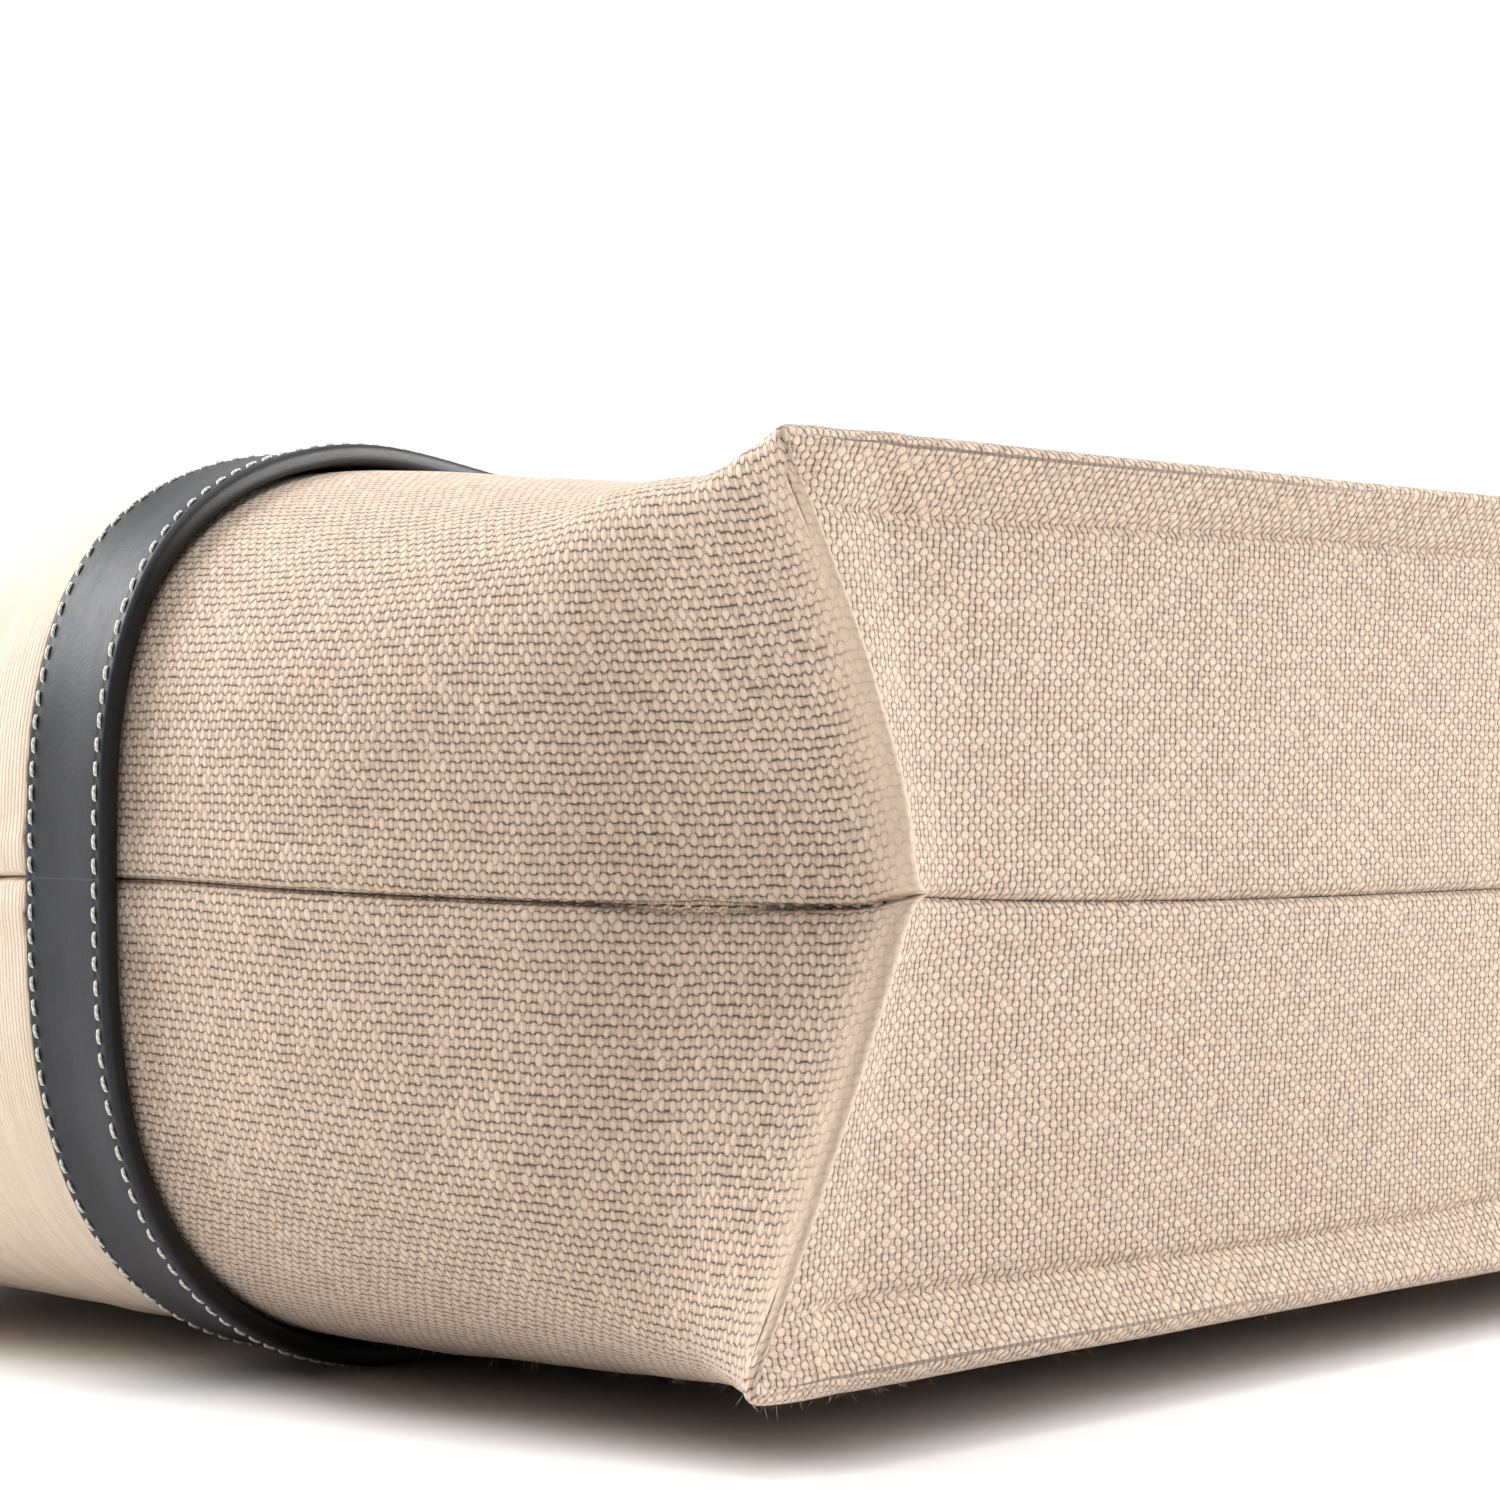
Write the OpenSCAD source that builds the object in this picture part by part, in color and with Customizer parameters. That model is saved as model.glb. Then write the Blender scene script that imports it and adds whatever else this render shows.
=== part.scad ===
// Large canvas tote bag, lying filled on its back panel.
// X runs across the bag, +Y from the base towards the mouth, +Z up through its thickness.
// The origin is on the resting side, in the middle of the lower leather band.
// All lengths are in mm.

/* [Bag] */
// half width of the body at its bottom corners
half_width = 226; // [180:1:280]
// length from the base to the rim of the mouth
height = 310; // [260:1:360]
// thickness of the canvas
canvas_t = 2.0; // [1:0.1:3]
// how far the middle of each T seam is drawn in from its two corners
tuck = 30; // [10:1:40]
// how far the base panel sits inside its two ridges
base_recess = 5.5; // [0:0.5:8]
// how far the lip of the T seam stands out in its middle
seam_lip = 7; // [0:0.5:10]
// how evenly the T seam curves in above and below the side seam
seam_curve = [1.25, 0.83];

/* [Leather] */
// where the lower band starts, measured from the base
band_start = 145; // [120:1:180]
// width of the bands
band_w = 24.5; // [18:0.5:32]
// thickness of the leather
leather_t = 3.6; // [2:0.1:4]
// thickness of the woven ribbon
ribbon_t = 0.8; // [0.5:0.1:1.5]

/* [Handles] */
// half distance between the two legs of a handle
leg_x = 75; // [60:1:100]
// width of the handle strap
strap_w = 24; // [18:1:32]
// thickness of the handle strap
strap_t = 4.6; // [3:0.1:6]
// rise of the loop above the mouth
loop_rise = 165; // [120:5:240]

/* [Hidden] */

gap = 0.15;                        // air between two sewn layers
band_end = band_start + band_w;
ribbon_start = band_end + 2;       // the woven ribbon starts just past the band
ribbon_end = ribbon_start + 70;
binding_start = height - 13;       // leather binding folded over the rim
y_origin = band_start + band_w / 2;
ridge_lean = 0.0384;               // the base leans out at the top by this slope
ridge_low = 13.5;                  // height of the lower ridge

// ---- the outer skin -------------------------------------------------
// stations along the bag, from the base to the mouth
st = [0, 8, 25, 60, 100, 145, 170, 240, 310];
// half width, drawn-in side middle, and height of the side seam
st_wide = half_width * [1, 0.988, 0.973, 0.962, 0.96, 0.94, 0.925, 0.91, 0.9];
st_tuck = tuck * [1, 0.88, 0.5, 0.12, 0, 0, 0, 0, 0];
st_seam = [90.9, 88.8, 88.6, 89.2, 90.2, 91.4, 91.4, 84, 66];
// upper face: height, squareness of the shoulder, reach of the shoulder, sag in the middle
st_top = [163.4, 160.8, 156.6, 158.5, 163, 166.7, 167, 151, 126];
st_top_n = [24, 20, 13, 5.2, 3.5, 3.1, 3.1, 2.8, 2.6];
st_top_a = [40, 60, 80, 95, 100, 100, 100, 100, 100];
st_sag = [0, 1, 3, 5, 7, 8, 8, 7, 3];
// lower face: the same, without a sag because it lies on the ground; the rim lifts a little
st_low = [13.5, 11.5, 8.5, 5.5, 4.2, 3.75, 3.75, 5.5, 8.5];
st_low_n = [24, 9, 5, 3.6, 3.1, 2.85, 2.8, 2.5, 2.3];

function clamp01(v) = min(1, max(0, v));
function ease(v) = let (c = clamp01(v)) c * c * (3 - 2 * c);
function mix(a, b, t) = a + (b - a) * t;

// monotone cubic through the stations
function slope(f, i) = (f[i + 1] - f[i]) / (st[i + 1] - st[i]);
function tangent(f, i) = i == 0 ? slope(f, 0)
    : i == len(st) - 1 ? slope(f, len(st) - 2)
    : let (a = slope(f, i - 1), b = slope(f, i)) a * b > 0 ? 2 * a * b / (a + b) : 0;
function span(h, i = 0) = i >= len(st) - 2 || h < st[i + 1] ? i : span(h, i + 1);
function at(f, h) = let (i = span(h), w = st[i + 1] - st[i], t = (h - st[i]) / w)
    (2 * t * t * t - 3 * t * t + 1) * f[i] + (t * t * t - 2 * t * t + t) * w * tangent(f, i)
    + (3 * t * t - 2 * t * t * t) * f[i + 1] + (t * t * t - t * t) * w * tangent(f, i + 1);

// a point of the rounded side: v climbs evenly to the shoulder, then u runs in evenly
function shoulder(q, n) = let (k = pow(2, -1 / n))
    q < 0.4 ? let (v = q / 0.4 * k) [pow(1 - pow(v, n), 1 / n), v]
    : let (u = max(0, (0.7 - q) / 0.3) * k) [u, pow(1 - pow(u, n), 1 / n)];

// how far the mouth-to-base line leans, and how far the T seam stands out
function base_line(z) = -ridge_lean * (z - ridge_low);
function lip(t) = seam_lip * (1 - t * t);

// skin(h, s, top, off): h along the bag, s from -1 (left seam) to 1 (right seam)
function skin(h, s, top, off = 0) =
    let (q = 1 - abs(s), side = s < 0 ? -1 : 1, zs = at(st_seam, h),
         b = (top ? at(st_top, h) - zs : zs - at(st_low, h)) + off,
         n = at(top ? st_top_n : st_low_n, h), a = at(st_top_a, h) + off,
         w = at(st_wide, h) + off, c = shoulder(q, n), t = c[1],
         run = a * (1 - c[0]), curve = seam_curve[top ? 0 : 1],
         inx = run + at(st_tuck, h) * (1 - pow(t, curve)) * exp(-pow(run / 30, 2)),
         edge = w - inx, x = side * (q <= 0.7 ? edge : edge * (1 - q) / 0.3),
         sag = top ? at(st_sag, h) * (1 - ease((abs(x) - 80) / 80)) : 0,
         z = zs + (top ? 1 : -1) * (0.05 + (b - 0.05) * t) - sag,
         y = h + base_line(z) * clamp01(1 - h / 120) - lip(t) * pow(clamp01(1 - h / 30), 1.5))
    [x, y, z];

// the base panel, between the lower and upper ridges and the two T seams
base_seam_x = half_width - tuck - 5;
function base_seam_z(x) = mix(87, 90.9, pow(abs(x) / (half_width - tuck), 3));
function t_seam_x(z) = let (zs = at(st_seam, 0),
    t = clamp01(abs(z - zs) / (z > zs ? st_top[0] - zs : zs - st_low[0])))
    half_width - tuck * (1 - pow(t, seam_curve[z > zs ? 0 : 1]));
function base_y(x, z) = let (zs = at(st_seam, 0),
    t = clamp01(abs(z - zs) / (z > zs ? st_top[0] - zs : zs - st_low[0])),
    dt = max(0, t_seam_x(z) - abs(x)), dr = max(0, min(st_top[0] - z, z - st_low[0])))
    base_line(z) + base_recess * ease(dr / 12) * ease(dt / 35) - lip(t) * (1 - ease(dt / 22));
function base_point(k, s, top, off) =
    let (q = 1 - abs(s), side = s < 0 ? -1 : 1, x0 = side * (base_seam_x + off) * (1 - pow(q, 1.2)),
         p0 = [x0, 0, base_seam_z(x0) + (top ? 0.05 : -0.05)], p1 = skin(0, s, top, off),
         x = mix(p0[0], p1[0], k), z = mix(p0[2], p1[2], k))
    [x, base_y(x, z) - off, z];

// ---- sheets: a grid of points with a thickness, closed on all four sides --------------
function grid_faces(rows, cols, flip) = [for (i = [0:rows - 2], j = [0:cols - 2], m = [0, 1])
    let (a = i * cols + j, b = a + 1, c = a + cols, d = c + 1, left = j < (cols - 1) / 2,
         f = m == 0 ? [a, b, left ? d : c] : left ? [a, d, c] : [b, d, c])
    flip ? [f[2], f[1], f[0]] : f];
function shift(faces, n) = [for (f = faces) [for (i = f) i + n]];
function rim_faces(rows, cols, n) = let (loop = concat(
    [for (j = [0:cols - 2]) j], [for (i = [0:rows - 2]) i * cols + cols - 1],
    [for (j = [cols - 1:-1:1]) (rows - 1) * cols + j], [for (i = [rows - 1:-1:1]) i * cols]),
    m = len(loop))
    [for (i = [0:m - 1], k = [0, 1]) let (a = loop[i], b = loop[(i + 1) % m])
        k == 0 ? [b, a, a + n] : [b, a + n, b + n]];
module sheet(outer, inner, flip = false) {
    rows = len(outer);
    cols = len(outer[0]);
    n = rows * cols;
    pts = concat([for (r = outer) each r], [for (r = inner) each r]);
    faces = concat(grid_faces(rows, cols, false), shift(grid_faces(rows, cols, true), n),
                   rim_faces(rows, cols, n));
    translate([0, -y_origin, 0])
        polyhedron(pts, flip ? faces : [for (f = faces) [f[2], f[1], f[0]]], convexity = 8);
}
// a closed loop of sections, such as a band round the whole bag
module hoop(outer, inner) {
    rows = len(outer);
    cols = len(outer[0]);
    n = rows * cols;
    pts = concat([for (r = outer) each r], [for (r = inner) each r]);
    wall = [for (i = [0:rows - 2], j = [0:cols - 1], m = [0, 1])
        let (a = i * cols + j, b = i * cols + (j + 1) % cols, c = a + cols, d = b + cols)
        m == 0 ? [a, d, b] : [a, c, d]];
    ends = [for (j = [0:cols - 1], m = [0, 1]) let (a = j, b = (j + 1) % cols)
        m == 0 ? [a, b, b + n] : [a, b + n, a + n]];
    last = (rows - 1) * cols;
    faces = concat(wall, [for (f = shift(wall, n)) [f[2], f[1], f[0]]], ends,
                   [for (f = shift(ends, last)) [f[2], f[1], f[0]]]);
    translate([0, -y_origin, 0]) polyhedron(pts, faces, convexity = 8);
}

// across a half bag: even steps on the side, the shoulder and the flat face
steps = concat([for (i = [0:7]) i / 8 * 0.4], [for (i = [0:6]) 0.4 + i / 7 * 0.3],
               [for (i = [0:5]) 0.7 + i / 5 * 0.3]);
across = concat([for (q = steps) q - 1], [for (i = [len(steps) - 2:-1:0]) 1 - steps[i]]);
rows_low = [2.5, 6, 11, 18, 27, 38, 52, 70, 92, 118, band_start];
rows_high = [band_start + band_w / 2, band_end, ribbon_start, 195, 218, ribbon_end, 262, 281,
             binding_start, height];
base_rows = [0, 0.25, 0.5, 0.7, 0.84, 0.93, 1];

function canvas_grid(top, off) = concat(
    [for (k = base_rows) [for (s = across) base_point(k, s, top, off)]],
    [for (h = concat(rows_low, rows_high)) [for (s = across) skin(h, s, top, off)]]);
function strip_grid(hs, top, off) = [for (h = hs) [for (s = across) skin(h, s, top, off)]];
function hoop_grid(hs, off) = [for (h = hs) concat([for (s = across) skin(h, s, true, off)],
    [for (i = [len(across) - 1:-1:0]) skin(h, across[i], false, off)])];

canvas = [0.72, 0.66, 0.57];
leather = [0.13, 0.13, 0.14];
cream = [0.92, 0.86, 0.76];

module front_canvas() color(canvas) sheet(canvas_grid(true, 0), canvas_grid(true, -canvas_t));
module back_canvas() color(canvas)
    sheet(canvas_grid(false, 0), canvas_grid(false, -canvas_t), true);

ribbon_rows = [ribbon_start, 195, 218, ribbon_end];
module front_ribbon() color(cream) sheet(strip_grid(ribbon_rows, true, gap + ribbon_t),
                                         strip_grid(ribbon_rows, true, gap));
module back_ribbon() color(cream) sheet(strip_grid(ribbon_rows, false, gap + ribbon_t),
                                        strip_grid(ribbon_rows, false, gap), true);

// leather band stitched round the body over the canvas
band_rows = [band_start, band_start + band_w / 2, band_end];
module lower_band() color(leather) hoop(hoop_grid(band_rows, leather_t + gap),
                                        hoop_grid(band_rows, gap));

// leather folded over the rim of the mouth, outside and inside the canvas
binding_t = 1.6;
module mouth_binding() color(leather) {
    outer = concat(hoop_grid([binding_start, height], gap + binding_t),
                   [for (r = hoop_grid([height], gap + binding_t)) [for (p = r) p + [0, 2, 0]]],
                   [for (r = hoop_grid([height], -canvas_t - gap - binding_t))
                       [for (p = r) p + [0, 2, 0]]],
                   hoop_grid([height], -canvas_t - gap - binding_t),
                   hoop_grid([binding_start], -canvas_t - gap - binding_t));
    inner = concat(hoop_grid([binding_start, height], gap),
                   [for (r = hoop_grid([height], gap)) [for (p = r) p + [0, 0.3, 0]]],
                   [for (r = hoop_grid([height], -canvas_t - gap)) [for (p = r) p + [0, 0.3, 0]]],
                   hoop_grid([height], -canvas_t - gap),
                   hoop_grid([binding_start], -canvas_t - gap));
    hoop(outer, inner);
}

// ---- bindings over the seam allowances inside ----------------------------------
tape_w = 9;      // half width of a seam binding
tape_t = 1.2;
function seam_in(h, side, dz, off) = let (p = skin(h, side, true, off), z = p[2] + dz)
    [p[0] - side * abs(dz) * 0.06, p[1], z];
module seam_binding(side) color(canvas) {
    hs = [18, 27, 38, 52, 70, 92, 118, band_start, band_end, 195, 218, ribbon_end, 262, 281, binding_start - 2];
    dz = [-tape_w, -tape_w / 2, 0, tape_w / 2, tape_w];
    sheet([for (h = hs) [for (d = dz) seam_in(h, side, d, -canvas_t - 0.6)]],
          [for (h = hs) [for (d = dz) seam_in(h, side, d, -canvas_t - 0.6 - tape_t)]], side > 0);
}
module left_seam_binding() seam_binding(-1);
module right_seam_binding() seam_binding(1);

// stiff board that keeps the base flat, and the binding over the base seam below it
board_x = 170;
board_y = base_recess + canvas_t + 2.6;
function tape_point(x, dz, lift) = let (z = base_seam_z(x) + dz)
    [x, base_y(x, z) + canvas_t + lift, z];
module base_seam_binding() color(canvas) {
    xs = [for (i = [-8:8]) i * board_x / 8];
    dz = [-tape_w, 0, tape_w];
    sheet([for (x = xs) [for (d = dz) tape_point(x, d, 0.7)]],
          [for (x = xs) [for (d = dz) tape_point(x, d, 0.7 + tape_t)]], true);
}
module base_board() color([0.2, 0.19, 0.18])
    multmatrix([[1, 0, 0, -board_x], [0, 1, -ridge_lean, board_y - y_origin + ridge_lean * ridge_low],
                [0, 0, 1, 24]])
        cube([board_x * 2, 2, 128]);

// bound seam allowances that stand in from the two T seams
function fin_point(side, z, k, e) = let (t = (z - at(st_seam, 0)) / 75)
    [side * (t_seam_x(z) - 3.2 - 6 * k - e), base_line(z) - lip(t) + 4.5 + 8 * k, z];
module corner_binding(side) color(canvas) {
    zs = [for (i = [-6:6]) at(st_seam, 0) + i * 10];
    sheet([for (z = zs) [for (k = [0, 1]) fin_point(side, z, k, 0)]],
          [for (z = zs) [for (k = [0, 1]) fin_point(side, z, k, tape_t)]], side < 0);
}
module left_corner_binding() corner_binding(-1);
module right_corner_binding() corner_binding(1);

// a point over the flat part of a face, at x across and h along the bag
function on_face(h, x, top, off) = let (s = -0.3 * abs(x) / abs(skin(h, -0.3, top, off)[0]),
    p = skin(h, s, top, off)) [x, p[1], p[2]];
module face_strip(hs, xs, top, low, high) {
    sheet([for (h = hs) [for (x = xs) on_face(h, x, top, high)]],
          [for (h = hs) [for (x = xs) on_face(h, x, top, low)]], !top);
}

// slip pocket hung from the rim inside the back panel, with a leather edge
pocket_x = 78;
pocket_xs = [for (i = [-6:6]) i * pocket_x / 6];
module pocket_panel() color([0.5, 0.46, 0.4])
    face_strip([150, band_end, 195, 218, ribbon_end, 250], pocket_xs, false,
               -canvas_t - 1.6, -canvas_t - 0.6);
module pocket_trim() color(leather)
    face_strip([250.3, 262, 268], pocket_xs, false, -canvas_t - 2.2, -canvas_t - 0.6);

// ---- handles ---------------------------------------------------------------
// the sewn legs run from the lower band over the ribbon to the binding of the mouth
leg_t = 1.8;
leg_rows = [band_end + 0.4, ribbon_start, 195, 218, ribbon_end, 262, 281, binding_start - 0.5];
leg_lift = ribbon_t + 2 * gap;
module leg(x0, top) color(leather)
    face_strip(leg_rows, [for (i = [-2:2]) x0 + i * strap_w / 4], top, leg_lift, leg_lift + leg_t);
module front_leg_left() leg(-leg_x, true);
module front_leg_right() leg(leg_x, true);
module back_leg_left() leg(-leg_x, false);
module back_leg_right() leg(leg_x, false);

// each loop starts flat just past the rim, turns into a round rolled grip and comes back
hinge_gap = 4;                     // from the rim of the binding to the hinge line
hinge_y = height + 2 + hinge_gap;
grip_r = 5.5;
straight = loop_rise - leg_x;
arc_len = PI * leg_x;
loop_len = 2 * straight + arc_len;
loop_n = 52;
function loop_xy(d) = d < straight ? [-leg_x, d]
    : d > straight + arc_len ? [leg_x, loop_len - d]
    : let (a = 180 - (d - straight) / leg_x * 180 / PI) [leg_x * cos(a), straight + leg_x * sin(a)];
function loop_dir(d) = d < straight ? [0, 1] : d > straight + arc_len ? [0, -1]
    : let (a = 180 - (d - straight) / leg_x * 180 / PI) [sin(a), -cos(a)];
// 0 where the strap is flat at its two ends, 1 where it is rolled
function rolled(d) = ease((min(d, loop_len - d) - 12) / 34);
module loop(z0, droop, lift) {
    ds = concat([-2.4, -1.6], [for (i = [0:loop_n]) i / loop_n * loop_len], [loop_len + 1.6, loop_len + 2.4]);
    sides = 12;
    rings = [for (d = ds) let (p = loop_xy(d), t = loop_dir(d), nrm = [t[1], -t[0]],
        r = rolled(d), over = max(0, -d, d - loop_len), trim = over > 2 ? 0.45 : over > 0 ? 0.85 : 1,
        hw = mix(strap_w / 2, grip_r, r), ht = mix(strap_t / 2, grip_r, r) * trim,
        n = mix(6, 2, r), z = z0 - droop * max(0, p[1]) * (1 + 0.25 * p[1] / loop_rise) + lift * ease(p[1] / 40))
        [for (i = [0:sides - 1]) let (a = (i + 0.5) * 360 / sides, c = cos(a), s = sin(a),
            u = sign(c) * pow(abs(c), 2 / n) * hw, w = sign(s) * pow(abs(s), 2 / n) * ht)
            [p[0] + nrm[0] * u, p[1] + nrm[1] * u + hinge_y, z + w]]];
    m = len(rings);
    pts = [for (r = rings) each r];
    wall = [for (i = [0:m - 2], j = [0:sides - 1], k = [0, 1]) let (a = i * sides + j,
        b = i * sides + (j + 1) % sides, c = a + sides, e = b + sides)
        k == 0 ? [a, b, e] : [a, e, c]];
    caps = [[for (j = [sides - 1:-1:0]) j], [for (j = [0:sides - 1]) (m - 1) * sides + j]];
    color(leather) translate([0, -y_origin, 0]) polyhedron(pts, concat(wall, caps), convexity = 8);
}
front_loop_z = on_face(height, leg_x, true, gap + binding_t + 0.4 + strap_t / 2)[2];
back_loop_z = on_face(height, leg_x, false, gap + binding_t + 0.4 + strap_t / 2)[2];
module front_loop() loop(front_loop_z, 0.24, 0);
module back_loop() loop(back_loop_z, 0, grip_r + 0.3 - back_loop_z);

front_canvas();
back_canvas();
front_ribbon();
back_ribbon();
lower_band();
mouth_binding();
left_seam_binding();
right_seam_binding();
base_seam_binding();
left_corner_binding();
right_corner_binding();
base_board();
pocket_panel();
pocket_trim();
front_leg_left();
front_leg_right();
back_leg_left();
back_leg_right();
front_loop();
back_loop();
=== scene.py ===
from contextlib import contextmanager
import math

import bpy
import bmesh
import numpy as np
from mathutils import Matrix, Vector


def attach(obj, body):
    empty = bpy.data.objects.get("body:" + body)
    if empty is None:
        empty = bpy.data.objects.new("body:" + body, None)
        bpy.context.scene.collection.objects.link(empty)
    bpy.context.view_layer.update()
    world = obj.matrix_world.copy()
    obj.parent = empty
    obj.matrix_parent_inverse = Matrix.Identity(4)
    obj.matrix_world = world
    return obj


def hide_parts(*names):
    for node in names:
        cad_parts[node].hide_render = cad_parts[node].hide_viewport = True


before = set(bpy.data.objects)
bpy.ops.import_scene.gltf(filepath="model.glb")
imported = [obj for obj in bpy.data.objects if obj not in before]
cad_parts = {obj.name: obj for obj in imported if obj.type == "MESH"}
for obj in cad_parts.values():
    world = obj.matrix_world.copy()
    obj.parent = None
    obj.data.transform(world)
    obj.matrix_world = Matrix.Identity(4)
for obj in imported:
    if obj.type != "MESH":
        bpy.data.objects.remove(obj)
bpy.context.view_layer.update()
rng = np.random.default_rng(7)

# ---------------- the bag's shape, in mm
HALF_WIDTH, HEIGHT, TUCK, RECESS, LIP = 226.0, 310.0, 30.0, 5.5, 7.0
CURL = {True: 1.25, False: 0.83}  # how the T seam curves in, above and below the side seam
CANVAS_T, GAP, RIBBON_T = 2.0, 0.15, 0.8
BAND0, BAND_W = 145.0, 24.5
BAND1 = BAND0 + BAND_W
RIBBON0, RIBBON1 = BAND1 + 2.0, BAND1 + 72.0
BINDING0 = HEIGHT - 13.0
Y0 = BAND0 + BAND_W / 2  # the frame's origin is under the middle of the band
LEAN, RIDGE0 = 0.0384, 13.5
ROLL = 2.2  # radius of the folded canvas edges
STITCH_PITCH = 4.2
# q runs from 0 at a side seam to 1 in the middle of a face
CORNER_Q, FLAT_Q, TURN_Q = 0.4, 0.7, 0.3  # where a side ends, where its turn ends, and the turn's share
SIDE_LENGTH = 186.0  # cloth per unit of q beside a side seam
HALF_GIRTH = 575.0  # cloth from one side seam round to the other
BASE_SEAM_END = 194.4  # how far out the base seam runs before it meets the T seams

STATIONS = np.array([0, 8, 25, 60, 100, 145, 170, 240, 310.0])
WIDE = HALF_WIDTH * np.array([1, 0.988, 0.973, 0.962, 0.96, 0.94, 0.925, 0.91, 0.9])
TUCKS = TUCK * np.array([1, 0.88, 0.5, 0.12, 0, 0, 0, 0, 0])
SEAM = np.array([90.9, 88.8, 88.6, 89.2, 90.2, 91.4, 91.4, 84, 66])
TOP = np.array([163.4, 160.8, 156.6, 158.5, 163, 166.7, 167, 151, 126])
TOP_N = np.array([24, 20, 13, 5.2, 3.5, 3.1, 3.1, 2.8, 2.6])
REACH = np.array([40, 60, 80, 95, 100, 100, 100, 100, 100.0])
SAG = np.array([0, 1, 3, 5, 7, 8, 8, 7, 3.0])
LOW = np.array([13.5, 11.5, 8.5, 5.5, 4.2, 3.75, 3.75, 5.5, 8.5])
LOW_N = np.array([24, 9, 5, 3.6, 3.1, 2.85, 2.8, 2.5, 2.3])


def ease(v):
    c = np.clip(v, 0, 1)
    return c * c * (3 - 2 * c)


def at(f, h):
    """Monotone cubic through the stations."""
    h = np.asarray(h, float)
    i = np.clip(np.searchsorted(STATIONS, h, side="right") - 1, 0, len(STATIONS) - 2)
    d = np.diff(f) / np.diff(STATIONS)
    m = np.zeros(len(STATIONS))
    p = d[:-1] * d[1:]
    m[1:-1] = np.where(p > 0, 2 * p / np.where(p > 0, d[:-1] + d[1:], 1), 0)
    m[0], m[-1] = d[0], d[-1]
    w = STATIONS[i + 1] - STATIONS[i]
    t = (h - STATIONS[i]) / w
    return ((2 * t**3 - 3 * t**2 + 1) * f[i] + (t**3 - 2 * t**2 + t) * w * m[i]
            + (3 * t**2 - 2 * t**3) * f[i + 1] + (t**3 - t**2) * w * m[i + 1])


def shoulder(q, n):
    """A quarter of a superellipse, as its run and its rise."""
    k = 2.0 ** (-1 / n)
    v = np.clip(q / CORNER_Q, 0, 1) * k
    u = np.clip((FLAT_Q - q) / TURN_Q, 0, 1) * k
    side = q < CORNER_Q
    return np.where(side, (1 - v**n) ** (1 / n), u), np.where(side, v, (1 - u**n) ** (1 / n))


def base_line(z):
    return -LEAN * (z - RIDGE0)


def skin(h, s, top, off=0.0):
    """A point of the outer skin: h along the bag, s from -1 (left seam) to 1 (right seam)."""
    h, s, off = np.broadcast_arrays(np.asarray(h, float), np.asarray(s, float), np.asarray(off, float))
    q, side, zs = 1 - abs(s), np.where(s < 0, -1.0, 1.0), at(SEAM, h)
    b = (at(TOP, h) - zs if top else zs - at(LOW, h)) + off
    n, a, w = at(TOP_N if top else LOW_N, h), at(REACH, h) + off, at(WIDE, h) + off
    u, t = shoulder(q, n)
    run = a * (1 - u)
    edge = w - (run + at(TUCKS, h) * (1 - t ** CURL[top]) * np.exp(-((run / 30) ** 2)))
    x = side * np.where(q <= FLAT_Q, edge, edge * (1 - q) / TURN_Q)
    sag = at(SAG, h) * (1 - ease((abs(x) - 80) / 80)) if top else 0
    z = zs + (1 if top else -1) * (0.05 + (b - 0.05) * t) - sag
    y = (h + base_line(z) * np.clip(1 - h / 120, 0, 1)
         - LIP * (1 - t * t) * np.clip(1 - h / 30, 0, 1) ** 1.5)
    return np.stack([x, y, z], -1)


def t_of(z):
    return np.clip(abs(z - SEAM[0]) / np.where(z > SEAM[0], TOP[0] - SEAM[0], SEAM[0] - LOW[0]), 0, 1)


def t_seam_x(z):
    return HALF_WIDTH - TUCK * (1 - t_of(z) ** np.where(z > SEAM[0], CURL[True], CURL[False]))


def base_seam_z(x):
    return 87 + 3.9 * (np.minimum(abs(x), 196.0) / 196.0) ** 3


def base_y(x, z):
    dt = np.maximum(0, t_seam_x(z) - abs(x))
    dr = np.maximum(0, np.minimum(TOP[0] - z, z - LOW[0]))
    return (base_line(z) + RECESS * ease(dr / 12) * ease(dt / 35)
            - LIP * (1 - t_of(z) ** 2) * (1 - ease(dt / 22)))


# ---------------- relief of the cloth, in mm
def waves(p, q, seed, count, low, high):
    """Smooth seeded noise over two coordinates in mm; wavelengths lie between low and high."""
    r = np.random.default_rng(seed)
    total = 0
    for _ in range(count):
        length, turn, phase = r.uniform(low, high), r.uniform(0, math.pi), r.uniform(0, 6.28)
        total = total + np.sin((p * math.cos(turn) + q * math.sin(turn)) * 6.2832 / length + phase)
    return total / math.sqrt(count)


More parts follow.
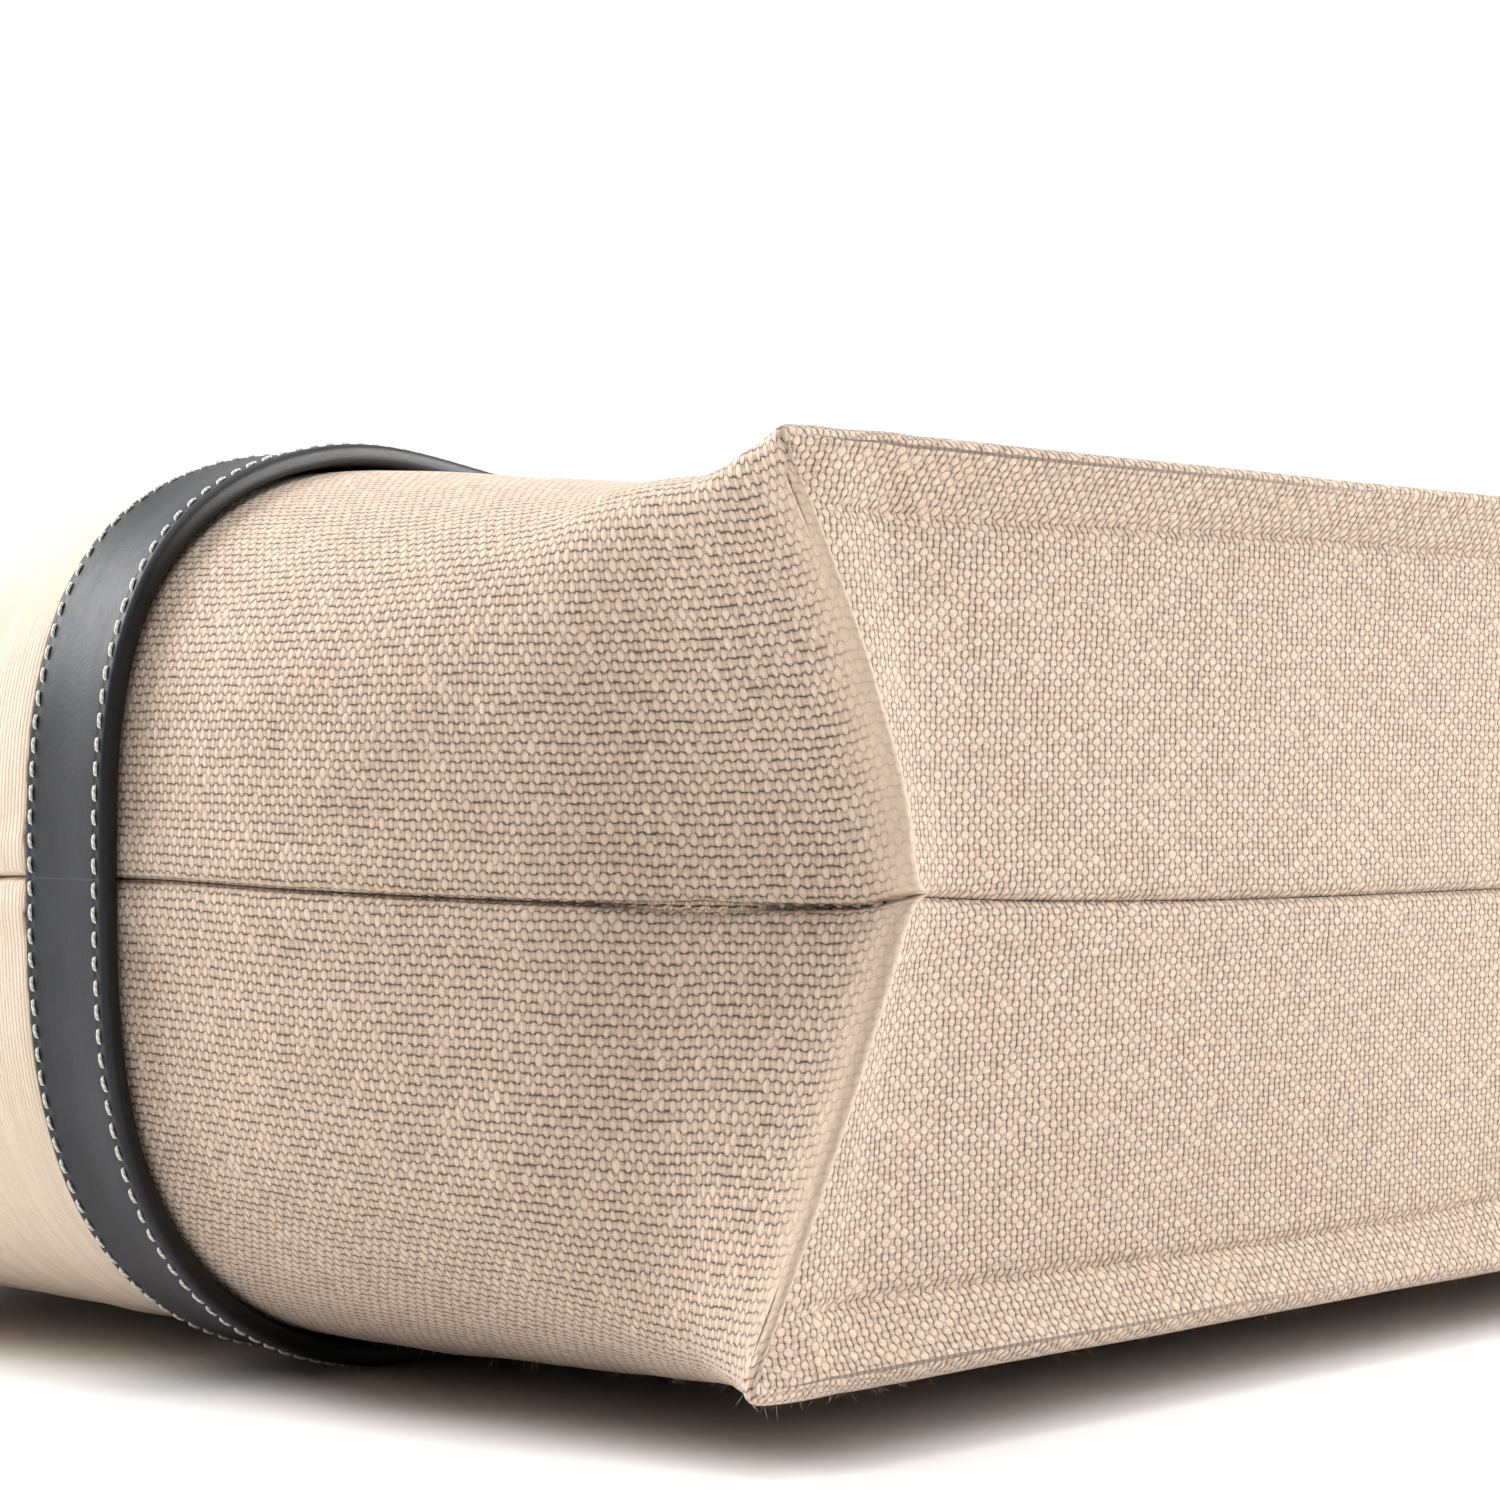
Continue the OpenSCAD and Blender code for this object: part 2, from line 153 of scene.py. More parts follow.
def relief(h, s, top, seams=True):
    """How far the cloth stands out from the fair skin."""
    h, s = np.broadcast_arrays(np.asarray(h, float), np.asarray(s, float))
    q = 1 - abs(s)
    side = np.where(s < 0, 1.0, 2.0)
    d = q * SIDE_LENGTH  # about the distance from the side seam
    along = d * (1 if top else -1) + 400 * side
    held = 1 - 0.85 * np.exp(-(((h - Y0) / 26) ** 2))
    out = 0.38 * waves(h, along, 11, 7, 55, 120) * held * ease((h - 4) / 30)
    out += 0.12 * waves(h, along, 12, 7, 17, 34) * held
    beside = ease((CORNER_Q - q) / 0.08)  # the sides hollow behind the T seam and round over at its edge
    out -= beside * (3.0 * np.exp(-(((h - 28) / 16) ** 2)) + 1.1 * np.clip(1 - h / 6.5, 0, 1) ** 2)
    if seams:
        nearby = np.exp(-d / 14)
        out += 0.75 * np.exp(-(((d - 5.5) / 4.5) ** 2)) - 1.5 * np.exp(-((d / 0.7) ** 2))
        out += 0.2 * np.sin(h * 0.83 + 1.4 * np.sin(h * 0.21)) * nearby
        out += 0.07 * np.sin(along * 0.31 + 1.2 * np.sin(along * 0.13)) * np.exp(-h / 9) * ease(d / 9)
    return out


def base_relief(x, z, top):
    """How far the base panel lies in from its fair surface, along +Y."""
    dr = np.maximum(0, np.minimum(TOP[0] - z, z - LOW[0]))
    dt = t_seam_x(z) - abs(x)
    ds = abs(z - base_seam_z(x))
    out = (5.6 - 2.8 * t_of(z) ** 2) * (1 - ease(dt / 20))
    fold = dr - 12 - 0.7 * np.sin(x / 37)
    out += (1.1 * np.exp(-((fold / 1.0) ** 2)) - 0.5 * np.exp(-(((fold + 3.4) / 2.4) ** 2))) * ease(dt / 20)
    out += 1.3 * np.exp(-((ds / 0.9) ** 2)) - 0.5 * np.exp(-(((ds - 5) / 4) ** 2))
    out += 0.3 * waves(x, z, 21, 8, 45, 110) * ease(dr / 20)
    out += 0.1 * np.sin(x * 0.7 + np.sin(x * 0.19)) * np.exp(-ds / 8)
    return out


# ---------------- mesh helpers
def grid_faces(ids, closed=False):
    """Quads over a 2-D array of vertex numbers; closed joins the last column to the first."""
    if closed:
        ids = np.concatenate([ids, ids[:, :1]], 1)
    return np.stack([ids[:-1, :-1], ids[:-1, 1:], ids[1:, 1:], ids[1:, :-1]], -1).reshape(-1, 4)


def arcs(points, axis):
    """Cumulative length of a grid of points along one axis."""
    d = np.linalg.norm(np.diff(points, axis=axis), axis=-1)
    start = np.zeros_like(np.take(d, [0], axis))
    return np.concatenate([start, np.cumsum(d, axis)], axis)


def add(name, data):
    obj = bpy.data.objects.new(name, data)
    bpy.context.scene.collection.objects.link(obj)
    return obj


def triple(a, b, c):
    """Three coordinates, spread over one grid."""
    return np.stack(np.broadcast_arrays(a, b, c), -1).astype(float)


def make(name, points, faces, coords=None, stitch=None, materials=(), index=None, smooth=True):
    """An object from points in mm, with its cloth or leather coordinates as attributes."""
    mesh = bpy.data.meshes.new(name)
    p = (np.asarray(points, float).reshape(-1, 3) - [0, Y0, 0]) / 1000
    mesh.from_pydata(p.tolist(), [], [list(map(int, f)) for f in faces])
    for key, values in (("fabric", coords), ("stitch", stitch)):
        if values is not None:
            a = mesh.attributes.new(key, "FLOAT_VECTOR", "POINT")
            a.data.foreach_set("vector", np.asarray(values, np.float32).ravel())
    for m in materials:
        mesh.materials.append(m)
    if index is not None:
        mesh.polygons.foreach_set("material_index", np.asarray(index, np.int32))
    mesh.polygons.foreach_set("use_smooth", [smooth] * len(mesh.polygons))
    mesh.update()
    return add(name, mesh)


@contextmanager
def editing(obj):
    bm = bmesh.new()
    bm.from_mesh(obj.data)
    yield bm
    bm.to_mesh(obj.data)
    bm.free()


def outward(obj):
    """Turns the faces so that they look away from the middle of the bag."""
    with editing(obj) as bm:
        middle = Vector((0, 0, 0.085))
        total = sum(f.normal.dot(f.calc_center_median() - middle) * f.calc_area() for f in bm.faces)
        if total < 0:
            bmesh.ops.reverse_faces(bm, faces=bm.faces)


def closed_normals(obj):
    """Consistent outward normals on a closed mesh."""
    with editing(obj) as bm:
        bmesh.ops.recalc_face_normals(bm, faces=bm.faces)
    return obj


def weld(obj):
    with editing(obj) as bm:
        bmesh.ops.remove_doubles(bm, verts=bm.verts, dist=1e-6)
        bmesh.ops.dissolve_degenerate(bm, edges=bm.edges, dist=1e-7)


def solidify(obj, thickness):
    m = obj.modifiers.new("thickness", "SOLIDIFY")
    m.thickness, m.offset, m.use_even_offset = thickness / 1000, -1, False


def settle(obj, body, nodes):
    if nodes:
        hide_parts(*nodes)
    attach(obj, body)


# ---------------- materials
class Tree:
    """A small node-tree writer: values, sockets and nodes mix freely as inputs."""

    def __init__(self, name):
        self.material = bpy.data.materials.new(name)
        self.material.use_nodes = True
        self.tree = self.material.node_tree
        self.tree.nodes.clear()
        self.shader = self.tree.nodes.new("ShaderNodeBsdfPrincipled")
        out = self.tree.nodes.new("ShaderNodeOutputMaterial")
        self.tree.links.new(self.shader.outputs[0], out.inputs["Surface"])

    def node(self, kind, inputs=(), out=0, **props):
        n = self.tree.nodes.new(kind)
        for k, v in props.items():
            setattr(n, k, v)
        for k, v in dict(inputs).items():
            self.put(n.inputs[k], v)
        return n.outputs[out]

    def put(self, socket, value):
        if isinstance(value, bpy.types.NodeSocket):
            self.tree.links.new(value, socket)
        elif isinstance(value, (tuple, list)) and socket.type == "RGBA":
            socket.default_value = (*value, 1.0)[:4]
        else:
            socket.default_value = value

    def math(self, op, a, b=0.0, c=0.0, clamp=False):
        return self.node("ShaderNodeMath", {0: a, 1: b, 2: c}, operation=op, use_clamp=clamp)

    def vec(self, op, a, b=(0, 0, 0), c=(0, 0, 0)):
        out = 1 if op == "LENGTH" else 0
        return self.node("ShaderNodeVectorMath", {0: a, 1: b, 2: c}, out=out, operation=op)

    def step(self, x, low, high, a=0.0, b=1.0):
        return self.node("ShaderNodeMapRange", {0: x, 1: low, 2: high, 3: a, 4: b},
                         interpolation_type="SMOOTHSTEP")

    def split(self, v, i):
        return self.node("ShaderNodeSeparateXYZ", {0: v}, out=i)

    def join(self, x, y, z=0.0):
        return self.node("ShaderNodeCombineXYZ", {0: x, 1: y, 2: z})

    def noise(self, p, detail=2.0, rough=0.5, out=0):
        return self.node("ShaderNodeTexNoise",
                         {"Vector": p, "Scale": 1.0, "Detail": detail, "Roughness": rough}, out=out)

    def cloud(self, p, stretch, detail=2.0, rough=0.5, out=0):
        return self.noise(self.vec("MULTIPLY", p, stretch), detail, rough, out)

    def mix(self, t, a, b, blend="MIX"):
        n = self.tree.nodes.new("ShaderNodeMix")
        n.data_type, n.blend_type = "RGBA", blend
        self.put(n.inputs[0], t)
        self.put(n.inputs[6], a)
        self.put(n.inputs[7], b)
        return n.outputs[2]

    def blend(self, share, a, b):
        """A number between b, where share is 0, and a, where it is 1."""
        return self.math("ADD", self.math("MULTIPLY", a, share),
                         self.math("MULTIPLY", b, self.math("SUBTRACT", 1.0, share)))

    def push(self, p, noise, amount):
        """Moves a point by a noise colour, either way, by up to half the amount."""
        centred = self.vec("SUBTRACT", noise, (0.5, 0.5, 0.5))
        return self.vec("ADD", p, self.vec("MULTIPLY", centred, amount))

    def attribute(self, name):
        return self.node("ShaderNodeAttribute", out=1, attribute_name=name)

    def bump(self, height, distance, strength=1.0, normal=None):
        inputs = {"Strength": strength, "Distance": distance, "Height": height}
        if normal is not None:
            inputs["Normal"] = normal
        return self.node("ShaderNodeBump", inputs)

    def finish(self, **inputs):
        for k, v in inputs.items():
            self.put(self.shader.inputs[k.replace("_", " ")], v)
        return self.material


def canvas_material(name, tint=(1.0, 1.0, 1.0), pitch=(1.08, 1.68), lift=0.36):
    """Coarse plain weave: fat cross yarns over straight ones, with slubs, loose fibres and painted shade in
    the gaps.
    """
    t = Tree(name)
    pu, pv = pitch
    p = t.attribute("fabric")
    wide = t.cloud(p, (0.05, 0.05, 1), 2, out=1)
    fine = t.cloud(p, (0.42, 0.42, 1), 2, out=1)
    bent = t.push(t.push(p, wide, (1.5, 1.5, 0)), fine, (0.7, 0.7, 0))
    bent = t.vec("MULTIPLY", bent, (1, 1, 0))
    found = []
    for shift in ((0, 0, 0), (pu, pv, 0)):
        q = t.vec("ADD", bent, shift)
        d = t.vec("WRAP", q, (pu, pv, 1), (-pu, -pv, -1))
        cell = t.vec("SUBTRACT", q, d)
        lot = t.noise(t.vec("ADD", t.vec("MULTIPLY", cell, (0.83, 0.61, 1)), shift), 1, out=1)
        own = t.split(lot, 0)
        d = t.push(d, lot, (0.7, 0.9, 0))
        size = t.math("MULTIPLY_ADD", own, 0.9, 0.55)
        e = t.math("DIVIDE", t.vec("LENGTH", t.vec("DIVIDE", d, (pu * 0.67, pv * 0.64, 1))), size)
        found.append((e, own))
    (e_a, own_a), (e_b, own_b) = found
    own = t.blend(t.math("LESS_THAN", e_a, e_b), own_a, own_b)
    e = t.math("MINIMUM", e_a, e_b)
    bead = t.math("SQRT", t.math("MAXIMUM", t.math("SUBTRACT", 1.0, t.math("MULTIPLY", e, e)), 0.0))
    u, v = t.split(bent, 0), t.split(bent, 1)
    dv = t.math("WRAP", v, pv / 2, -pv / 2)
    rv = t.math("DIVIDE", dv, pv * 0.46)
    row = t.math("SQRT", t.math("MAXIMUM", t.math("SUBTRACT", 1.0, t.math("MULTIPLY", rv, rv)), 0.0))
    row = t.math("MULTIPLY", row, 0.62)
    over = t.step(t.math("SUBTRACT", bead, row), -0.05, 0.05)
    height = t.math("MAXIMUM", bead, row)
    # fibres run along whichever yarn is on top
    across = t.noise(t.join(t.math("MULTIPLY", u, 5.2), t.math("MULTIPLY", v, 0.9)), 3, 0.6)
    length = t.noise(t.join(t.math("MULTIPLY", u, 0.9), t.math("MULTIPLY", v, 5.6), 3.0), 3, 0.6)
    fibre = t.blend(over, across, length)
    fuzz = t.cloud(p, (1.9, 1.9, 1), 4, 0.7)
    height = t.math("MULTIPLY_ADD", t.math("SUBTRACT", fibre, 0.5), 0.6, height)
    rim = t.step(t.math("ABSOLUTE", t.math("SUBTRACT", e, 1.0)), 0.24, 0.02)
    rim = t.math("MULTIPLY", rim, t.step(fuzz, 0.42, 0.60, 0.0, 1.0))
    height = t.math("MULTIPLY_ADD", rim, -0.2, height)
    # colour: yarns differ along their length; the gaps between them get painted shade, dark and warm
    slub_u = t.noise(t.join(t.math("MULTIPLY", u, 0.055), t.math("SNAP", v, pv), 5.0), 3, 0.6)
    slub_v = t.noise(t.join(t.math("SNAP", u, pu), t.math("MULTIPLY", v, 0.05), 9.0), 3, 0.6)
    slub = t.blend(over, slub_v, slub_u)
    colours = ((0.70, 0.545, 0.425), (0.635, 0.487, 0.373), (0.665, 0.475, 0.355),
               (0.49, 0.390, 0.312), (0.135, 0.088, 0.057))
    light, plain, peach, grey, dark = (tuple(a * b for a, b in zip(c, tint)) for c in colours)
    yarn = t.mix(t.step(slub, 0.40, 0.74), plain, light)
    yarn = t.mix(t.math("MULTIPLY", t.step(slub, 0.44, 0.26), 0.8), yarn, grey)
    patch = t.cloud(p, (0.16, 0.11, 1), 3, 0.6)
    yarn = t.mix(t.math("MULTIPLY", t.step(patch, 0.5, 0.75), 0.45), yarn, peach)
    tone = t.math("MULTIPLY", t.math("MULTIPLY_ADD", own, 0.2, 0.9),
                  t.math("MULTIPLY_ADD", fibre, 0.6, 0.70))
    # painted shade in the low parts of the weave, and a slight painted highlight on the yarn tops
    tone = t.math("MULTIPLY", tone, t.step(height, 0.35, 0.95, 0.74, 1.06))
    tone = t.math("MULTIPLY", tone, t.math("MULTIPLY_ADD", fuzz, 0.24, 0.88))
    colour = t.vec("MULTIPLY", yarn, t.join(tone, tone, tone))
    # painted shade in the open gaps between the yarns and along the bead rims
    painted_gap_shade = t.step(t.math("MULTIPLY_ADD", t.math("SUBTRACT", fuzz, 0.5), 0.35, height), 0.10, 0.50)
    colour = t.mix(painted_gap_shade, dark, colour)
    colour = t.mix(t.math("MULTIPLY", rim, 0.26), colour, dark)
    # the yarns close up where the cloth is folded hard at the T seam, so the painted shade of the weave is
    # left off there
    fold = t.math("MULTIPLY", t.split(t.attribute("stitch"), 0), 0.75)
    colour = t.mix(fold, colour, t.mix(fibre, plain, light))
    height = t.math("MULTIPLY", height, t.math("SUBTRACT", 1.0, fold))
    normal = t.bump(t.math("MULTIPLY_ADD", fuzz, 0.16, height), lift / 1000, 0.9)
    return t.finish(Base_Color=colour, Roughness=t.math("MULTIPLY_ADD", fibre, 0.1, 0.84),
                    Normal=normal, Sheen_Weight=0.18, Sheen_Roughness=0.45, Specular_IOR_Level=0.25)


def ribbon_material():
    """Cream grosgrain: fine ribs along the ribbon, each a row of small packed yarns."""
    t = Tree("cream_ribbon")
    p = t.attribute("fabric")
    soft = t.cloud(p, (0.25, 0.25, 1), 3, out=1)
    p = t.push(p, soft, (0.5, 0.5, 0))
    u, v = t.split(p, 0), t.split(p, 1)
    rib = t.math("ABSOLUTE", t.math("SINE", t.math("MULTIPLY", u, math.pi / 0.92)))
    yarn = t.math("ABSOLUTE", t.math("SINE", t.math("ADD", t.math("MULTIPLY", v, math.pi / 0.42),
                  t.math("MULTIPLY", t.math("FLOOR", t.math("DIVIDE", u, 0.92)), math.pi / 2))))
    fibre = t.noise(t.join(t.math("MULTIPLY", u, 4.5), t.math("MULTIPLY", v, 0.7)), 4, 0.6)
    height = t.math("ADD", t.math("MULTIPLY", rib, 0.7), t.math("MULTIPLY", yarn, 0.3))
    height = t.math("MULTIPLY_ADD", fibre, 0.35, height)
    slow = t.noise(t.join(t.math("MULTIPLY", u, 0.4), t.math("MULTIPLY", v, 0.03)), 3, 0.6)
    colour = t.mix(t.step(slow, 0.35, 0.65), (0.69, 0.55, 0.425), (0.76, 0.62, 0.49))
    # painted shade in the grooves between the ribs
    shade = t.math("MULTIPLY", t.step(height, 0.05, 0.75, 0.72, 1.0),
                   t.math("MULTIPLY_ADD", fibre, 0.2, 0.9))
    colour = t.vec("MULTIPLY", colour, t.join(shade, shade, shade))
    return t.finish(Base_Color=colour, Roughness=t.math("MULTIPLY_ADD", fibre, 0.15, 0.72),
                    Normal=t.bump(height, 0.00016, 0.8), Sheen_Weight=0.12, Sheen_Roughness=0.4,
                    Specular_IOR_Level=0.3)


def leather_material(name, rows=(), tone=1.0, rough=0.5):
    """Smooth dark leather with a fine grain; rows are the stitch lines it is pierced along."""
    t = Tree(name)
    p = t.attribute("fabric")
    cells = t.node("ShaderNodeTexVoronoi",
                   {"Vector": t.vec("MULTIPLY", p, (1.35, 1.35, 1.35)), "Scale": 1.0}, feature="SMOOTH_F1")
    pores = t.cloud(p, (3.4, 3.4, 3.4), 4, 0.6)
    slow = t.cloud(p, (0.035, 0.06, 0.06), 4, 0.6)
    smear = t.cloud(p, (0.12, 0.5, 0.5), 4, 0.65)
    dark = tuple(c * tone for c in (0.015, 0.016, 0.019))
    pale = tuple(c * tone for c in (0.026, 0.027, 0.033))
    colour = t.mix(t.step(slow, 0.3, 0.72), dark, pale)
    colour = t.mix(t.math("MULTIPLY", t.step(pores, 0.5, 0.72), 0.3), colour, (0.022, 0.022, 0.023))
    height = t.math("ADD", t.math("MULTIPLY", cells, 0.5), t.math("MULTIPLY", pores, 0.5))
    if rows:
        place = t.attribute("stitch")
        across = t.split(place, 2)
        for i, line in enumerate(rows):
            along = t.math("WRAP", t.math("ADD", t.split(place, min(i, 1)), 0.5), 0.5, -0.5)
            beside = t.math("SUBTRACT", across, line)
            hole = t.vec("LENGTH", t.join(t.math("MULTIPLY", along, STITCH_PITCH / 0.42),
                                          t.math("MULTIPLY", beside, 1 / 0.40)))
            hole = t.step(hole, 1.25, 0.7)
            pull = t.step(t.math("ABSOLUTE", beside), 1.1, 0.1)
            # painted shade darkens each stitch hole
            colour = t.mix(hole, colour, (0.004, 0.004, 0.004))
            dent = t.math("MULTIPLY_ADD", hole, 5.0, t.math("MULTIPLY", pull, 2.2))
            height = t.math("SUBTRACT", height, dent)
    gloss = t.math("ADD", t.math("MULTIPLY_ADD", smear, 0.16, rough - 0.08),
                   t.math("MULTIPLY", t.step(pores, 0.45, 0.75), 0.08))
    return t.finish(Base_Color=colour, Roughness=gloss, Normal=t.bump(height, 0.00006, 0.7),
                    Specular_IOR_Level=0.2)


def edge_material():
    """Burnished and painted leather edge."""
    t = Tree("painted_edge")
    p = t.attribute("fabric")
    streak = t.cloud(p, (0.25, 2.2, 1), 3, 0.6)
    grain = t.cloud(p, (1.6, 3.0, 1), 3, 0.6)
    colour = t.mix(t.step(streak, 0.35, 0.7), (0.004, 0.0038, 0.0036), (0.011, 0.0105, 0.010))
    return t.finish(Base_Color=colour, Roughness=t.math("MULTIPLY_ADD", streak, 0.2, 0.34),
                    Normal=t.bump(grain, 0.00008, 0.6), Specular_IOR_Level=0.4)


def thread_material(name, colour, shade):
    """Waxed two-ply thread."""
    t = Tree(name)
    p = t.attribute("fabric")
    twist = t.math("SINE", t.math("ADD", t.math("MULTIPLY", t.split(p, 0), 5.5),
                                  t.math("MULTIPLY", t.split(p, 1), 6.2832)))
    fuzz = t.cloud(p, (3, 2, 1), 3, 0.6)
    tint = t.mix(t.step(t.math("ADD", twist, fuzz), -0.6, 1.2), shade, colour)
    return t.finish(Base_Color=tint, Roughness=t.math("MULTIPLY_ADD", fuzz, 0.2, 0.5),
                    Normal=t.bump(twist, 0.00006, 0.7), Sheen_Weight=0.1)


def felt_material(name, dark, light):
    """Pressed fibre board wrapped in thin cloth."""
    t = Tree(name)
    p = t.vec("MULTIPLY", t.node("ShaderNodeTexCoord", out=3), (1000, 1000, 1000))
    fibre = t.cloud(p, (1.1, 2.2, 0.8), 5, 0.7)
    slow = t.cloud(p, (0.03, 0.03, 0.03), 3)
    colour = t.mix(t.step(t.math("ADD", fibre, t.math("MULTIPLY", slow, 0.5)), 0.5, 1.0), dark, light)
    return t.finish(Base_Color=colour, Roughness=t.math("MULTIPLY_ADD", fibre, 0.2, 0.8),
                    Normal=t.bump(fibre, 0.0002, 0.6), Sheen_Weight=0.2)


canvas = canvas_material("canvas_weave")
tape = canvas_material("tape_weave", (0.97, 0.95, 0.92), (0.55, 0.72), 0.16)
lining = canvas_material("pocket_weave", (0.78, 0.77, 0.76), (0.42, 0.5), 0.12)
ribbon = ribbon_material()
band_lines = (2.35, BAND_W - 2.35)
strap_lines = (2.3, 24 - 2.3)
band_leather = leather_material("band_leather", band_lines)
strap_leather = leather_material("strap_leather", strap_lines)
loop_leather = leather_material("loop_leather", (), 0.95)
trim_leather = leather_material("trim_leather", (2.4,))
painted = edge_material()
thread = thread_material("pale_thread", (0.74, 0.73, 0.66), (0.50, 0.49, 0.43))
seam_thread = thread_material("dark_thread", (0.10, 0.07, 0.05), (0.04, 0.03, 0.02))
board = felt_material("board_cloth", (0.035, 0.033, 0.031), (0.085, 0.080, 0.075))

# ---------------- canvas body and base, two halves
near = np.array([0, 0.35, 0.7, 1.1, 1.6, 2.2, 3.0, 4.0, 5.3])
side_q = np.concatenate([near / SIDE_LENGTH, np.linspace(7 / SIDE_LENGTH, 0.365, 36),
                         np.linspace(0.37, CORNER_Q, 8)])
turn_q = np.linspace(CORNER_Q, FLAT_Q, 38)[1:]
flat_q = np.linspace(FLAT_Q, 1.0, 30)[1:]
half_q = np.concatenate([side_q, turn_q, flat_q])
COLS = np.concatenate([half_q - 1, (1 - half_q)[-2::-1]])
body_rows = np.concatenate([[ROLL, 3.2, 4.6, 6.4, 8.5, 11, 14, 17, 20], np.arange(24, 140, 4),
                            [142, 145, 150, 157.25, 165, 169.5, 172], np.arange(176, 300, 5),
                            [300, 305, 310]])


def outer_skin(h, s, top, off=0.0, seams=True):
    h, s, off = np.broadcast_arrays(np.asarray(h, float), np.asarray(s, float), np.asarray(off, float))
    return skin(h, s, top, off + relief(np.maximum(h, ROLL), s, top, seams))


def inset(angle):
    """How far a folded edge has rolled in from the skin."""
    return -ROLL * (1 - np.cos(angle))


def canvas_half(top, name, node):
    fillet = np.radians([15, 30, 45, 60, 75, 90])
    extra = np.radians([14, 28, 42, 56, 70])
    s = COLS[None, :]
    q = 1 - abs(COLS)
    curl = ease((CORNER_Q - q) / 0.035)  # the T seam's edge turns further in than the ridge's
    rows = []
    for e in extra[::-1]:
        a = np.radians(90) + e * curl
        p = outer_skin(np.zeros_like(COLS), COLS, top, inset(a))
        p[:, 1] += ROLL * (1 - np.sin(a))
        rows.append(p)
    for a in fillet[::-1]:
        rows.append(outer_skin(np.full_like(COLS, ROLL * (1 - math.sin(a))), COLS, top, inset(a)))
    rows = np.array(rows)
    body = outer_skin(body_rows[:, None], s, top)
    grid = np.concatenate([rows, body])
    fillet_row = len(extra)  # the row where the base panel starts
    # cloth coordinates: along the bag, and round it from the left seam
    u = arcs(grid, 0)
    u -= u[-1:] - 310
    v = arcs(grid, 1)
    v = v / v[:, -1:] * HALF_GIRTH
    n_rows, n_cols = grid.shape[:2]
    ids = np.arange(n_rows * n_cols).reshape(n_rows, n_cols)
    faces = [grid_faces(ids[fillet_row:])]
    turned = curl > 0
    left = np.where(turned[: n_cols // 2])[0].max() + 2
    faces.append(grid_faces(ids[: fillet_row + 1, :left]))
    faces.append(grid_faces(ids[: fillet_row + 1, n_cols - left:]))
    # base panel: columns at constant x, from the ridge to the base seam or under the T seam
    keep = np.where(q >= CORNER_Q - 1e-9)[0]
    start = grid[fillet_row, keep]
    x = start[:, 0]
    z0 = start[:, 2]
    out = np.clip(1 - (HALF_WIDTH - abs(x)) / TUCK, 0, 1)
    beyond = np.clip(1 - (HALF_WIDTH - abs(x) - 1.9 - 2.4 * out) / TUCK, 0, 1) ** (1 / CURL[top])
    reach = (TOP[0] - SEAM[0]) if top else (SEAM[0] - LOW[0])
    sign = 1 if top else -1
    z1 = np.where(abs(x) <= BASE_SEAM_END, base_seam_z(x), SEAM[0] + sign * reach * beyond) + sign * 0.05
    z1 = sign * np.minimum(sign * z1, sign * z0 - 0.3)
    whole = abs(base_seam_z(0) - z0[len(z0) // 2])
    d = np.concatenate([[0, 0.6, 1.3, 2.2, 3.3, 4.6, 6, 7.4, 8.2, 8.8, 9.3, 9.8, 10.3, 10.9, 11.7, 13],
                        np.arange(15, whole - 6, 2.6),
                        whole - np.array([5, 3.8, 2.8, 2, 1.4, 0.9, 0.45, 0])])
    k = (d / d[-1])[1:, None]
    z = z0[None, :] * (1 - k) + z1[None, :] * k
    xx = np.broadcast_to(x, z.shape)
    inner = ease((abs(z - z0[None, :])) / 6)
    y = base_y(xx, z) + base_relief(xx, z, top) * inner
    fix = start[:, 1] - base_y(x, z0)
    y = y + fix[None, :] * (1 - inner)
    base = np.stack([xx, y, z], -1)
    n0 = n_rows * n_cols
    base_ids = np.concatenate([ids[fillet_row, keep][None, :],
                               n0 + np.arange(base.shape[0] * base.shape[1]).reshape(base.shape[:2])])
    faces.append(grid_faces(base_ids)[:, ::-1])
    # the base's yarns run true: the slant that the ears give the body stops at the ridge
    bu = u[fillet_row, n_cols // 2] - abs(z - z0[None, :])
    bv = np.broadcast_to(v[fillet_row, keep], z.shape)
    kind = 0.0 if top else 40.0
    coords = np.concatenate([np.stack([u.ravel(), v.ravel(), np.full(u.size, kind)], 1),
                             np.stack([bu.ravel(), bv.ravel(), np.full(bu.size, kind)], 1)])
    points = np.concatenate([grid.reshape(-1, 3), base.reshape(-1, 3)])
    fold = np.zeros((len(points), 3))
    h = np.concatenate([np.zeros(n_rows - len(body_rows)), body_rows])
    fold[:n0, 0] = ((1 - ease(h / 8))[:, None] * ease((CORNER_Q - q) / 0.06)).ravel()
    obj = make(name, points, np.concatenate(faces), coords, fold, [canvas])
    weld(obj)
    outward(obj)
    solidify(obj, CANVAS_T)
    settle(obj, "bag", [node])


canvas_half(True, "canvas_front", "front_canvas")
canvas_half(False, "canvas_back", "back_canvas")

# ---------------- ribbon
ribbon_rows = np.concatenate([[RIBBON0, RIBBON0 + 0.5], np.arange(RIBBON0 + 2, RIBBON1 - 1, 3),
                              [RIBBON1 - 0.5, RIBBON1]])


